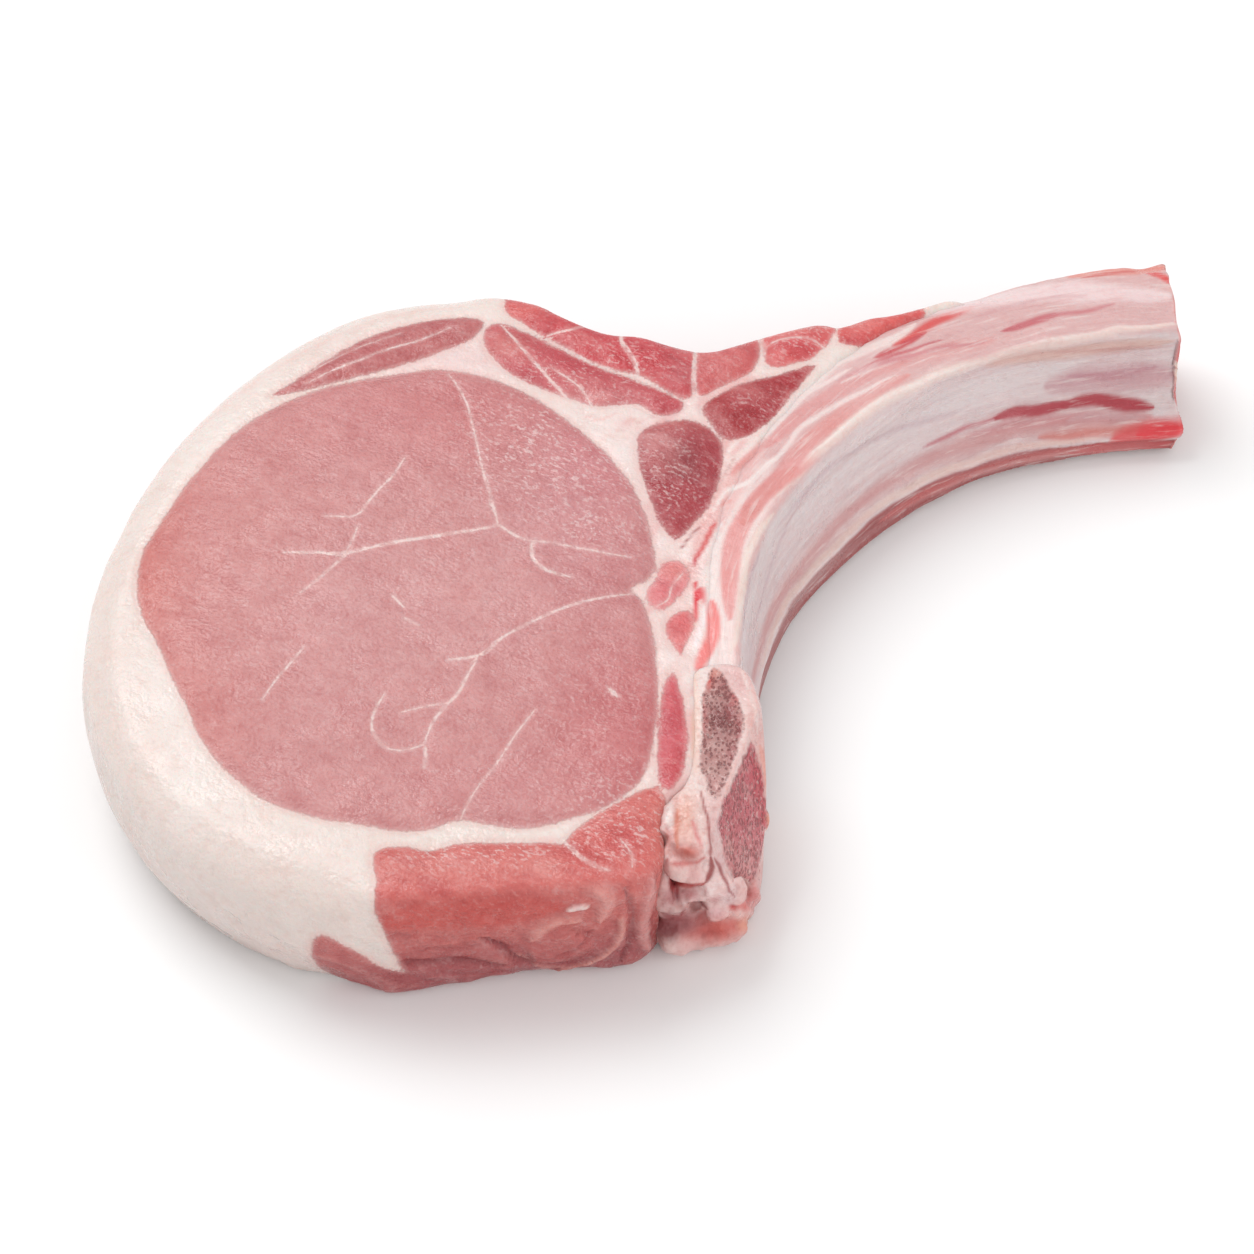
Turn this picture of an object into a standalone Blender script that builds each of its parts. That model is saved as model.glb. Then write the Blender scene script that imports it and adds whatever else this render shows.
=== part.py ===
"""A raw, bone-in pork rib chop, lying flat on one cut face.

Four solids touch along the cut: the lean loin meat, the fat cap that wraps its outer side,
the rib bone that sweeps away from it, and the sawn piece of backbone (the chine) at the root
of the rib. Every one of them runs through the full thickness of the chop.

Frame: metres, +Z up, the floor at Z = 0. +X runs along the chop towards the sawn end of the rib,
and the fat cap is on the -X side.
"""

import math

import bmesh
import bpy
from mathutils import Vector

MM = 0.001

# Driving sizes, in millimetres.
THICKNESS = 25.0  # one cut face to the other, at the rim of the loin eye
EYE_DOME = 1.2  # how far the round loin muscle swells above that
EYE_CENTRE = (-38.0, -5.0)
EYE_HALF_WIDTH = 43.0
FAT_BULGE = 2.6  # how far the fat cap's side stands out at mid height
FAT_ROUND = 9.0  # how far in from the side the fat cap's top starts to fall away
LEAN_ROUND = 3.0  # the same, where meat meets the side
BOTTOM_ROUND = 2.5
RIB_LIFT = 0.6  # the rib clears the floor by this much
GAP = 0.3  # left between solids that touch
RECENTRE = Vector((0.0, 0.9, 0.0))  # brings the middle of the chop's box over the origin

OUTLINE_STEPS = 112  # points round the chop
RIM_STEPS = 5  # steps down the rounded upper edge
RIB_STATIONS = 44
SIDE_LEVELS = (0.24, 0.4, 0.58)  # heights of the rings that shape the side
INNER_RINGS = (0.82, 0.6, 0.36, 0.14)  # rings of the upper face, as fractions of its radius

# The chop's outline in plan, clockwise from the far end of the fat cap. The rib leaves between
# (38, 51) and (12, 0), and the backbone is the stretch from (16, -28) to (12, -61).
CHOP_OUTLINE = [
    (-23, 57.3), (-13.5, 52.5), (-2, 48.4), (8, 45), (18, 48), (30, 51.2), (34.5, 51.8),
    (38.5, 51), (37, 47), (29, 37), (20, 26), (14, 13), (12, 0), (12.5, -14), (16.4, -28),
    (17.4, -38), (17.4, -44), (16.4, -50), (14.5, -58), (12.4, -61), (2, -62.6), (-4, -65),
    (-14, -66.4), (-30, -68), (-46, -68.5), (-60, -64.5), (-74, -54), (-84, -40), (-89, -24),
    (-89.6, -12), (-88.6, -2), (-86, 8), (-82.6, 18), (-77.6, 28), (-71.6, 37), (-64.6, 45),
    (-58, 50.9), (-51.4, 55.4), (-44.6, 58.2), (-37.8, 59.6), (-30.9, 60),
]

# The border between fat cap and lean, from the far end of the cap round to the near side.
FAT_BORDER = [
    (-23.5, 66), (-25.5, 55), (-30, 52), (-37, 50.8), (-46, 46.5), (-56, 39), (-66, 28),
    (-76, 12), (-81, -6), (-79, -19), (-73, -32), (-67, -43), (-58, -50.5), (-49, -53.5),
    (-43, -56), (-41, -62), (-38, -74),
]

# The rib from its root at the backbone to the sawn end: centre (x, y), half width across.
RIB_PATH = [
    (11.6, -22, 4.8), (12.2, -13, 5.1), (13.8, -2, 6.2), (17.3, 9, 7.4), (24, 20.5, 8.6),
    (33.8, 32.5, 9.8), (46, 43.0, 10.8), (60, 49.5, 11.2), (74, 53.2, 11.8), (88.5, 55, 12.0),
]
RIB_HEIGHT = 24.4
# Half of the rib's section is told by fractions of its half width and of its height: the
# flat top runs to a crest, and the hollow inner face falls from the crest to a low outer lip.
RIB_SECTION = [
    (-0.82, 0.0), (-0.96, 0.08), (-1.0, 0.3), (-1.0, 0.66), (-0.93, 0.85), (-0.72, 0.95),
    (-0.3, 0.99), (0.12, 1.0), (0.36, 0.985), (0.47, 0.93), (0.52, 0.8), (0.58, 0.62),
    (0.68, 0.43), (0.82, 0.26), (0.96, 0.15), (1.0, 0.08), (0.94, 0.02), (0.8, 0.0),
]

# The backbone piece in plan, and the slanting saw cut that takes off its outer shoulder.
CHINE_OUTLINE = [
    (6.2, -25.2), (8.4, -23.4), (12.4, -23.2), (15.2, -26), (16.6, -32), (17.1, -38), (17.1, -44),
    (16.6, -49), (15.5, -54), (14.2, -58), (12, -60.8), (8, -61.8), (4, -61.6), (1.6, -59.2),
    (1.2, -54), (2.4, -49.8), (5, -46.2), (6, -38), (6, -31),
]
CHINE_RIMS = [(1.6, 0.0), (0.5, 0.5), (0.0, 1.8), (0.0, 22.6), (0.5, 24.2), (1.7, 25.0)]
CHINE_CUT = ((14.6, -36.5, 25.0), (10.2, -50.0, 25.0), (17.3, -46.0, 14.0))


def remove_all_objects():
    for obj in list(bpy.data.objects):
        bpy.data.objects.remove(obj, do_unlink=True)


def catmull_rom(p0, p1, p2, p3, t):
    """The point at fraction t between p1 and p2."""
    return 0.5 * (
        2 * p1 + (p2 - p0) * t
        + (2 * p0 - 5 * p1 + 4 * p2 - p3) * t**2
        + (3 * p1 - p0 - 3 * p2 + p3) * t**3
    )


def smooth_curve(points, count, closed):
    """Spreads count points evenly along the smooth curve through the given points."""
    knots = [Vector(p) for p in points]
    spans = len(knots) if closed else len(knots) - 1
    if not closed:
        knots = [2 * knots[0] - knots[1]] + knots + [2 * knots[-1] - knots[-2]]
    fine = []
    steps = 24
    for span in range(spans):
        first = span - 1 if closed else span
        four = [knots[(first + k) % len(knots)] for k in range(4)]
        fine += [catmull_rom(*four, step / steps) for step in range(steps)]
    fine.append(fine[0] if closed else knots[-2])
    lengths = [0.0]
    for a, b in zip(fine, fine[1:]):
        lengths.append(lengths[-1] + (b - a).length)
    pieces = count if closed else count - 1
    evenly = []
    at = 0
    for index in range(count):
        wanted = lengths[-1] * index / pieces
        while at < len(fine) - 2 and lengths[at + 1] < wanted:
            at += 1
        share = (wanted - lengths[at]) / (lengths[at + 1] - lengths[at])
        evenly.append(fine[at].lerp(fine[at + 1], min(share, 1.0)))
    return evenly


def outward_normals(loop):
    """The outward normal at each point of a closed clockwise loop."""
    normals = []
    for index, _ in enumerate(loop):
        along = loop[(index + 1) % len(loop)] - loop[index - 1]
        normals.append(Vector((-along.y, along.x)).normalized())
    return normals


def skin_rings(name, rings):
    """Joins rings of equal count with faces, and closes both ends with one face each."""
    bm = bmesh.new()
    made = [[bm.verts.new((Vector(point) + RECENTRE) * MM) for point in ring] for ring in rings]
    for lower, upper in zip(made, made[1:]):
        for index, _ in enumerate(lower):
            after = (index + 1) % len(lower)
            bm.faces.new((lower[index], lower[after], upper[after], upper[index]))
    bm.faces.new(made[0])
    bm.faces.new(made[-1])
    bmesh.ops.recalc_face_normals(bm, faces=bm.faces)
    bmesh.ops.triangulate(bm, faces=[face for face in bm.faces if len(face.verts) > 4])
    mesh = bpy.data.meshes.new(name)
    bm.to_mesh(mesh)
    bm.free()
    obj = bpy.data.objects.new(name, mesh)
    bpy.context.scene.collection.objects.link(obj)
    return obj


def fat_share(point):
    """1 beside the fat cap, 0 beside bare lean or bone, with a short blend between them."""
    left = min(max((-20.0 - point.x) / 12.0, 0.0), 1.0)
    near = min(max((-38.0 - point.x) / 12.0, 0.0), 1.0)
    return near if point.y < -40.0 else left


def dome(x, y):
    """The height of the loin muscle's gentle swell above the flat cut."""
    away = math.hypot(x - EYE_CENTRE[0], y - EYE_CENTRE[1]) / EYE_HALF_WIDTH
    return EYE_DOME * max(0.0, 1.0 - away**2)


def chop_rings():
    """The whole chop without its rib: rings from the underside, up the side, to the middle."""
    outline = smooth_curve(CHOP_OUTLINE, OUTLINE_STEPS, closed=True)
    normals = outward_normals(outline)
    shares = [fat_share(point) for point in outline]

    def ring(inset_and_height):
        points = []
        for point, normal, share in zip(outline, normals, shares):
            inset, height = inset_and_height(share)
            flat = point - normal * inset
            points.append((flat.x, flat.y, height))
        return points

    def underside(angle):
        lean = BOTTOM_ROUND * (1.0 - math.sin(angle))
        return lambda share: (lean + FAT_BULGE * share, BOTTOM_ROUND * (1.0 - math.cos(angle)))

    def upper_edge(angle):
        def place(share):
            width = LEAN_ROUND + (FAT_ROUND - LEAN_ROUND) * share
            drop = LEAN_ROUND + 3.0 * share
            inset = width * (1.0 - math.cos(angle)) + 0.3 * FAT_BULGE * share * math.cos(angle)
            return inset, THICKNESS - drop * (1.0 - math.sin(angle))

        return place

    quarter = math.pi / 2
    def side(height):
        low, high = BOTTOM_ROUND, THICKNESS - LEAN_ROUND - 3.0
        swell = math.sin(math.pi * (height - low) / (high - low) / 1.3)
        return lambda share: (FAT_BULGE * share * (1.0 - swell), height)

    rings = [ring(underside(quarter * step / 3)) for step in range(4)]
    rings += [ring(side(THICKNESS * level)) for level in SIDE_LEVELS]
    rings += [ring(upper_edge(quarter * step / RIM_STEPS)) for step in range(RIM_STEPS + 1)]
    rim = rings[-1]
    centre = Vector(EYE_CENTRE)
    for fraction in INNER_RINGS:
        inner = [centre.lerp(Vector((x, y)), fraction) for x, y, _ in rim]
        rings.append([(p.x, p.y, THICKNESS + dome(p.x, p.y)) for p in inner])
    return rings


def prism(name, loop, bottom, top):
    """A straight-sided solid over a plan outline, used as a guide for cutting."""
    guide = skin_rings(name, [[(p[0], p[1], z) for p in loop] for z in (bottom, top)])
    guide.hide_render = True
    guide.display_type = "WIRE"
    return guide


def bone_loop(rib_path, chine):
    """The plan of everything on the bone side of the meat, a gap away from rib and backbone."""
    rib_edge = []
    for index, station in enumerate(rib_path):
        across = across_path(rib_path, index)
        rib_edge.append(station.xy - across * (station.z + GAP))
    normals = outward_normals(chine)
    facing_meat = [p + n * GAP for p, n in zip(chine, normals) if n.x < -0.3]
    facing_meat.sort(key=lambda point: -point.y)
    root = rib_edge[0].y
    facing_meat = [point for point in facing_meat if point.y < root - 1.0]
    near_end = (facing_meat[-1].x, -80)
    corners = [near_end, (110, -80), (110, 75), (rib_edge[-1].x + 10, rib_edge[-1].y)]
    return [(p.x, p.y) for p in reversed(rib_edge)] + [(p.x, p.y) for p in facing_meat] + corners


def lean_loop(shift):
    """The plan of everything on the lean side of the fat border, moved by shift into the fat."""
    border = smooth_curve(FAT_BORDER, 60, closed=False)
    moved = []
    for index, point in enumerate(border):
        along = border[min(index + 1, 59)] - border[max(index - 1, 0)]
        into_fat = Vector((along.y, -along.x)).normalized()
        moved.append(point + into_fat * shift)
    corners = [(-38, -90), (60, -90), (60, 80), (-23.5, 80)]
    return [(p.x, p.y) for p in moved] + corners


def across_path(path, index):
    """The unit vector across the rib at one station, towards its hollow inner side."""
    along = path[min(index + 1, len(path) - 1)] - path[max(index - 1, 0)]
    return Vector((along.y, -along.x)).normalized()


def rib_rings(path):
    """The rib's sections along its path."""
    rings = []
    for index, station in enumerate(path):
        across = across_path(path, index)
        places = [(station.xy + across * u * station.z, RIB_LIFT + v * RIB_HEIGHT) for u, v in RIB_SECTION]
        rings.append([(place.x, place.y, height) for place, height in places])
    return rings


def chine_block(name, loop):
    """The backbone piece, with rounded rims and its shoulder sawn off on a slant."""
    normals = outward_normals(loop)
    rings = []
    for inset, height in CHINE_RIMS:
        moved = [p - n * inset for p, n in zip(loop, normals)]
        rings.append([(p.x, p.y, height) for p in moved])
    block = skin_rings(name, rings)
    a, b, c = [Vector(corner) for corner in CHINE_CUT]
    normal = (b - a).cross(c - a).normalized()
    if normal.z < 0:
        normal = -normal
    bm = bmesh.new()
    bm.from_mesh(block.data)
    cut = bmesh.ops.bisect_plane(
        bm,
        geom=bm.verts[:] + bm.edges[:] + bm.faces[:],
        plane_co=(a + RECENTRE) * MM,
        plane_no=normal,
        clear_outer=True,
    )
    edges = [item for item in cut["geom_cut"] if isinstance(item, bmesh.types.BMEdge)]
    bmesh.ops.edgeloop_fill(bm, edges=edges)
    bmesh.ops.recalc_face_normals(bm, faces=bm.faces)
    bmesh.ops.triangulate(bm, faces=[face for face in bm.faces if len(face.verts) > 4])
    bm.to_mesh(block.data)
    bm.free()
    return block


def cut(obj, guide, operation):
    modifier = obj.modifiers.new(guide.name, "BOOLEAN")
    modifier.operation = operation
    modifier.object = guide


def finish(obj, colour, roughness):
    """Gives the solid its own material and smooth shading over its gentle angles."""
    material = bpy.data.materials.new(obj.name)
    material.use_nodes = True
    shader = material.node_tree.nodes["Principled BSDF"]
    shader.inputs["Base Color"].default_value = (*colour, 1.0)
    shader.inputs["Roughness"].default_value = roughness
    shader.inputs["Metallic"].default_value = 0.0
    obj.data.materials.append(material)
    obj.data.shade_smooth()
    obj.data.set_sharp_from_angle(angle=math.radians(40))


def build():
    remove_all_objects()
    rib_path = smooth_curve([Vector(p) for p in RIB_PATH], RIB_STATIONS, closed=False)
    chine_loop = smooth_curve(CHINE_OUTLINE, 48, closed=True)

    lean_side = prism("lean_side_guide", lean_loop(-GAP / 2), -5, THICKNESS + 8)
    fat_side = prism("fat_side_guide", lean_loop(GAP / 2), -5, THICKNESS + 8)
    bone_side = prism("bone_side_guide", bone_loop(rib_path, chine_loop), -5, THICKNESS + 8)

    chop = chop_rings()
    fat = skin_rings("fat_cap", chop)
    cut(fat, fat_side, "DIFFERENCE")
    finish(fat, (0.86, 0.72, 0.64), 0.45)

    meat = skin_rings("loin_meat", chop)
    cut(meat, lean_side, "INTERSECT")
    cut(meat, bone_side, "DIFFERENCE")
    finish(meat, (0.62, 0.25, 0.24), 0.4)

    rib = skin_rings("rib_bone", rib_rings(rib_path))
    finish(rib, (0.72, 0.6, 0.58), 0.4)

    chine = chine_block("chine_bone", chine_loop)
    finish(chine, (0.55, 0.3, 0.27), 0.6)


build()
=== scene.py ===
# %% [markdown]
# # A raw, bone-in pork chop
# This lesson gives a raw rib chop its looks. The chop was cut across the back of the animal, so
# one flat face shows everything at once: a large round loin muscle, a ring of smaller muscles held
# in a white web of fat, a thick fat cap, and the rib with the bit of backbone it grew from.
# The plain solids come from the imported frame. Three dense meshes replace them here, and each one
# is shaped by a few operators, evened out by a voxel remesh, then carved and painted point by point.

# %% Load the frame
import math

import bmesh
import bpy
import numpy as np
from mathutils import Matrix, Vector


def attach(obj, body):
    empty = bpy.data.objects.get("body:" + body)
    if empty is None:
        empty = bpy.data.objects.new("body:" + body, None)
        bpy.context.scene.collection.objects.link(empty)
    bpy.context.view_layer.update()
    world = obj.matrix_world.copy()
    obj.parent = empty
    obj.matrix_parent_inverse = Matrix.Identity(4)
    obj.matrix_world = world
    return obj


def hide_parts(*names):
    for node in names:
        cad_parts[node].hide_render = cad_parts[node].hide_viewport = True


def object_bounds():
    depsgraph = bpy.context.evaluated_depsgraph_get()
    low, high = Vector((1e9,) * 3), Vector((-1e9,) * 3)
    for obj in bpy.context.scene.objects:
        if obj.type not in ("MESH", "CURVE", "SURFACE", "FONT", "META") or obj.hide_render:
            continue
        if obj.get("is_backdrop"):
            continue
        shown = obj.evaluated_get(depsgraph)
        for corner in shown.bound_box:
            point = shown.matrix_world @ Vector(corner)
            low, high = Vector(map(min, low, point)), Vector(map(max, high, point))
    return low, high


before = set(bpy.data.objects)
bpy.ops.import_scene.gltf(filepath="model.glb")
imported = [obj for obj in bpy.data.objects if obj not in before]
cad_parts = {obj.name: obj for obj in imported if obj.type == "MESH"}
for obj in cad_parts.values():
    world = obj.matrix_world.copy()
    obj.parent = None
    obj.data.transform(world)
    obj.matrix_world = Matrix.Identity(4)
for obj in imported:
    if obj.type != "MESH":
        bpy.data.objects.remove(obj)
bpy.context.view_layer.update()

# %% [markdown]
# ## Sizes
# Everything is worked out in millimetres and turned into metres when a mesh is made. The plan
# points below were laid out round the loin muscle, so one small shift brings them over the frame.

# %% Sizes
MM = 0.001
RECENTRE = np.array((0.0, 0.9))
THICKNESS = 25.0
EYE_DOME = 1.2
EYE_CENTRE = np.array((-38.0, -5.0)) + RECENTRE
EYE_HALF_WIDTH = 43.0
FAT_BULGE = 2.6
FAT_ROUND = 9.0
LEAN_ROUND = 2.4
BOTTOM_ROUND = 2.5


# %% [markdown]
# ## Lines, distances and noise
# A few helpers do most of the carving and painting. One draws a smooth line through some points.
# Others measure how far each point of a mesh lies from such a line, which gives borders that stay
# crisp however close the camera comes. The last makes smooth random values for unevenness.

# %% Smooth lines
def smooth_line(points, closed=False, spacing=1.2):
    """Evenly spaced points on the smooth curve through a few given ones."""
    knots = np.array(points, float)
    if closed:
        knots = np.vstack([knots[-1], knots, knots[:2]])
    else:
        knots = np.vstack([2 * knots[0] - knots[1], knots, 2 * knots[-1] - knots[-2]])
    t = np.linspace(0, 1, 20, endpoint=False)[:, None]
    spans = []
    for a, b, c, d in zip(knots, knots[1:], knots[2:], knots[3:]):
        bend = (2 * a - 5 * b + 4 * c - d) * t**2 + (3 * b - a - 3 * c + d) * t**3
        spans.append(0.5 * (2 * b + (c - a) * t + bend))
    fine = np.vstack([*spans, knots[-2:-1]])
    steps = np.linalg.norm(np.diff(fine[:, :2], axis=0), axis=1)
    length = np.concatenate([[0], np.cumsum(steps)])
    count = max(int(length[-1] / spacing), 6)
    at = np.linspace(0, length[-1], count, endpoint=not closed)
    return np.stack([np.interp(at, length, column) for column in fine.T], axis=1)


# %% Distances
def nearest_on(xy, line, closed=False):
    """For each point: its distance to the line, how far along that is (0 to 1), and the way there."""
    ends = np.roll(line, -1, axis=0) if closed else line[1:]
    starts = line if closed else line[:-1]
    nearest = np.full(len(xy), 1e6)
    along = np.zeros(len(xy))
    offset = np.zeros_like(xy)
    for index, (start, end) in enumerate(zip(starts, ends)):
        way = end - start
        share = np.clip((xy - start) @ way / max(way @ way, 1e-9), 0, 1)
        from_line = xy - start - share[:, None] * way
        gap = np.hypot(*from_line.T)
        closer = gap < nearest
        nearest[closer] = gap[closer]
        along[closer] = (index + share[closer]) / len(starts)
        offset[closer] = from_line[closer]
    return nearest, along, offset


def inside_by(xy, loop, margin=8.0):
    """How deep each point lies inside a closed loop: positive inside, negative outside."""
    near = ((xy > loop.min(0) - margin) & (xy < loop.max(0) + margin)).all(1)
    points = xy[near]
    gap = nearest_on(points, loop, closed=True)[0]
    inside = np.zeros(len(points), bool)
    for (ax, ay), (bx, by) in zip(loop, np.roll(loop, -1, axis=0)):
        crosses = (ay > points[:, 1]) != (by > points[:, 1])
        level = (points[:, 1] - ay) / (by - ay if by != ay else 1e-9)
        inside ^= crosses & (points[:, 0] < ax + level * (bx - ax))
    depth = np.full(len(xy), -float(margin))
    depth[near] = np.where(inside, gap, -gap)
    return depth


# %% Noise and blends
def noise(xyz, size, seed=0):
    """Smooth random values from -1 to 1, with bumps about as wide as size."""
    cell = xyz / size + 17.3 * seed
    base = np.floor(cell).astype(np.int64)
    part = cell - base
    part = part * part * (3 - 2 * part)
    total = np.zeros(len(xyz))
    for corner in np.ndindex(*(2,) * xyz.shape[1]):
        spot = base + corner
        key = spot[:, 0] * 73856093 ^ spot[:, 1] * 19349663 ^ spot[:, -1] * 83492791 ^ (seed + 1) * 2654435761
        key = (key ^ (key >> 13)) * 1274126177 & 0x7FFFFFFF
        weight = np.prod(np.where(np.array(corner) == 1, part, 1 - part), axis=1)
        total += weight * (key / 0x3FFFFFFF - 1)
    return total


def step(value, low, high):
    """0 below low, 1 above high, and a smooth rise between them."""
    t = np.clip((value - low) / (high - low), 0, 1)
    return t * t * (3 - 2 * t)


def stroke(xy, half_width, points, soft=0.5):
    """A mask along a smooth line: 1 on it, 0 past its soft edge, tapered at both ends."""
    line = smooth_line(points)
    reach = half_width + soft
    near = ((xy > line.min(0) - reach) & (xy < line.max(0) + reach)).all(1)
    mask = np.zeros(len(xy))
    if near.any():
        gap, along, _ = nearest_on(xy[near], line)
        taper = np.sqrt(np.clip(5 * along * (1 - along), 0, 1))
        edge = soft * (0.3 + 0.7 * taper)
        mask[near] = 1 - step(gap, half_width * taper - 0.5 * edge, half_width * taper + 0.5 * edge)
    return mask


test_points = np.column_stack([np.linspace(0, 40, 5), np.zeros(5)])
print("noise along a line:", noise(test_points, 5.0).round(2))


# %% [markdown]
# ## Making a body
# A body starts as one ring of points. Each further ring is bridged to the one before, and the two
# ends are filled, as a loft is made by hand. The voxel remesh then replaces it with small even
# faces, because carving needs points everywhere and not only along the rings.

# %% Loft and remesh
def new_piece(name, bm):
    mesh = bpy.data.meshes.new(name)
    bm.to_mesh(mesh)
    bm.free()
    piece = bpy.data.objects.new(name, mesh)
    bpy.context.scene.collection.objects.link(piece)
    return piece


def loft(bm, rings):
    """Adds a closed body through rings of equal count, given in millimetres."""
    loops = []
    for ring in rings:
        verts = [bm.verts.new(Vector(point) * MM) for point in ring]
        loops.append([bm.edges.new(pair) for pair in zip(verts, verts[1:] + verts[:1])])
    for lower, upper in zip(loops, loops[1:]):
        bmesh.ops.bridge_loops(bm, edges=lower + upper)
    for end in (loops[0], loops[-1]):
        bmesh.ops.edgeloop_fill(bm, edges=end)
    bmesh.ops.recalc_face_normals(bm, faces=bm.faces)


def remesh(piece, voxel):
    """Replaces the piece's mesh with small even faces, voxel millimetres apart."""
    even = piece.modifiers.new("even faces", "REMESH")
    even.mode = "VOXEL"
    even.voxel_size = voxel * MM
    even.use_smooth_shade = True
    graph = bpy.context.evaluated_depsgraph_get()
    mesh = bpy.data.meshes.new_from_object(piece.evaluated_get(graph))
    piece.modifiers.clear()
    piece.data = mesh
    print(piece.name, "has", len(mesh.polygons), "faces")


def points_of(piece):
    """The piece's points in millimetres, and its outward normals."""
    mesh = piece.data
    points = np.empty(len(mesh.vertices) * 3, np.float32)
    mesh.vertices.foreach_get("co", points)
    normals = np.empty(len(mesh.vertices) * 3, np.float32)
    mesh.vertex_normals.foreach_get("vector", normals)
    return points.reshape(-1, 3).astype(float) / MM, normals.reshape(-1, 3).astype(float)


def move_points(piece, points):
    piece.data.vertices.foreach_set("co", (points * MM).astype(np.float32).ravel())
    piece.data.update()


def store(piece, name, values):
    """Keeps a number, a vector or a colour for each point of the piece, for its material to read."""
    if values.ndim == 1:
        attribute = piece.data.attributes.new(name, "FLOAT", "POINT")
        attribute.data.foreach_set("value", values.astype(np.float32))
        return
    attribute = piece.data.attributes.new(name, "FLOAT_COLOR", "POINT")
    rgba = np.hstack([values, np.ones((len(values), 1))])
    attribute.data.foreach_set("color", rgba.astype(np.float32).ravel())


# %% [markdown]
# ## Colours
# Colours are written as the eye meets them, from 0 to 255, and turned into the linear values a
# shader needs. They are divided by the strength of the light, because white studio light falls on
# everything here a little more strongly than 1.

# %% Colours
LIGHT_LEVEL = 1.22


def tone(red, green, blue):
    seen = np.array((red, green, blue)) / 255
    linear = np.where(seen <= 0.04045, seen / 12.92, ((seen + 0.055) / 1.055) ** 2.4)
    return linear / LIGHT_LEVEL


def lay(colour, mask, tint):
    """Lays a tint over a colour, as strongly as the mask says at each point."""
    return colour + mask[:, None] * (tint - colour)


def painted(xyz, base, spots):
    """A colour for each point: the base, with soft spots laid over it in turn."""
    colour = np.array(base) * np.ones((len(xyz), 3))
    for centre, reach, tint, strength in spots:
        away = ((xyz[:, : len(centre)] - np.array(centre)) / np.array(reach)) ** 2
        colour = lay(colour, strength * np.exp(-away.sum(1)), tint)
    return colour


# %% [markdown]
# ## The path of the rib
# The rib leaves the backbone, runs forwards and curls to the right. Its path is needed first,
# because the flesh dips under it. Each point is x, y and half the bone's width there.

# %% The rib's path
RIB_PATH = [
    (11.6, -25, 4.8), (12.2, -13, 5.1), (13.8, -2, 6.2), (17.3, 9, 7.4), (24, 20.5, 8.6),
    (33.8, 32.5, 9.8), (46, 43, 10.8), (60, 49.5, 11.2), (74, 53.2, 11.8), (88.5, 55, 12),
]
RIB_LIFT, RIB_HEIGHT = 0.6, 24.4
path = smooth_line(RIB_PATH, spacing=1.6)
path[:, :2] += RECENTRE
heading = np.gradient(path[:, :2], axis=0)
heading /= np.hypot(*heading.T)[:, None]
crosswise = np.stack([heading[:, 1], -heading[:, 0]], 1)
path_length = np.concatenate([[0], np.cumsum(np.hypot(*np.diff(path[:, :2], axis=0).T))])


def on_the_rib(points):
    """Millimetres along the rib, place across it (-1 outer, 1 inner), and half its width there."""
    share = nearest_on(points[:, :2], path[:, :2])[1]
    station = share * (len(path) - 1)
    order = np.arange(len(path))
    middle = np.stack([np.interp(station, order, path[:, k]) for k in range(3)], 1)
    side = np.stack([np.interp(station, order, crosswise[:, k]) for k in range(2)], 1)
    across = ((points[:, :2] - middle[:, :2]) * side).sum(1) / middle[:, 2]
    return np.interp(station, order, path_length), across, middle[:, 2]


print("the rib is", round(path_length[-1]), "mm long")

# %% [markdown]
# ## The flesh
# Lean and fat cap grow into each other, so one mesh stands for both and light can soak from one
# into the other. It is a slab: the outline is drawn once, and rings moved inwards from it give
# the tight rim of the lean and the broad rounded shoulder of the fat.

# %% The flesh body
FLESH_OUTLINE = [
    (-30.9, 60), (-26.5, 58.9), (-22.9, 57.3), (-18.3, 55.7), (-14.9, 53.3), (-10, 50.3), (-6.6, 48.9),
    (-1.7, 48.4), (2.2, 46.8), (6.4, 45.2), (9.9, 44.9), (13.8, 46.3), (18, 48), (23.1, 49.9),
    (27, 51.1), (29.2, 51.2), (31, 50.5), (33.2, 51.2), (36.5, 52.8), (41, 53.6), (46, 55.3),
    (51, 57), (55, 55), (51, 48), (43, 41), (33.8, 32.5), (24, 20.5), (17.3, 9), (13.8, -2),
    (12.2, -13), (11.2, -22), (10.2, -34), (8.8, -44), (5, -47.2), (2.4, -50), (1.6, -54), (1.5, -58),
    (0.9, -61.4), (-1.4, -64.4), (-5.5, -65.8), (-14, -66.4), (-30, -68), (-46, -68.5), (-60, -64.5), (-74, -54), (-84, -40), (-89, -24),
    (-89.6, -12), (-88.6, -2), (-86, 8), (-82.6, 18), (-77.6, 28), (-71.6, 37), (-64.6, 45),
    (-58, 50.9), (-51.4, 55.4), (-44.6, 58.2), (-37.8, 59.6),
]
outline = smooth_line(FLESH_OUTLINE, closed=True, spacing=1.8) + RECENTRE
along = np.roll(outline, -1, axis=0) - np.roll(outline, 1, axis=0)
outward = np.stack([-along[:, 1], along[:, 0]], 1) / np.hypot(*along.T)[:, None]
left_share = step(-outline[:, 0], 22, 34)
near_share = step(-outline[:, 0], 38, 50)
fat_share = np.where(outline[:, 1] < -40, near_share, left_share)


def flesh_ring(inset, height):
    """One ring of the slab. Inset and height may differ from point to point."""
    flat = outline - outward * np.broadcast_to(inset, len(outline))[:, None]
    return np.column_stack([flat, np.broadcast_to(height, len(outline))])


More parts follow.
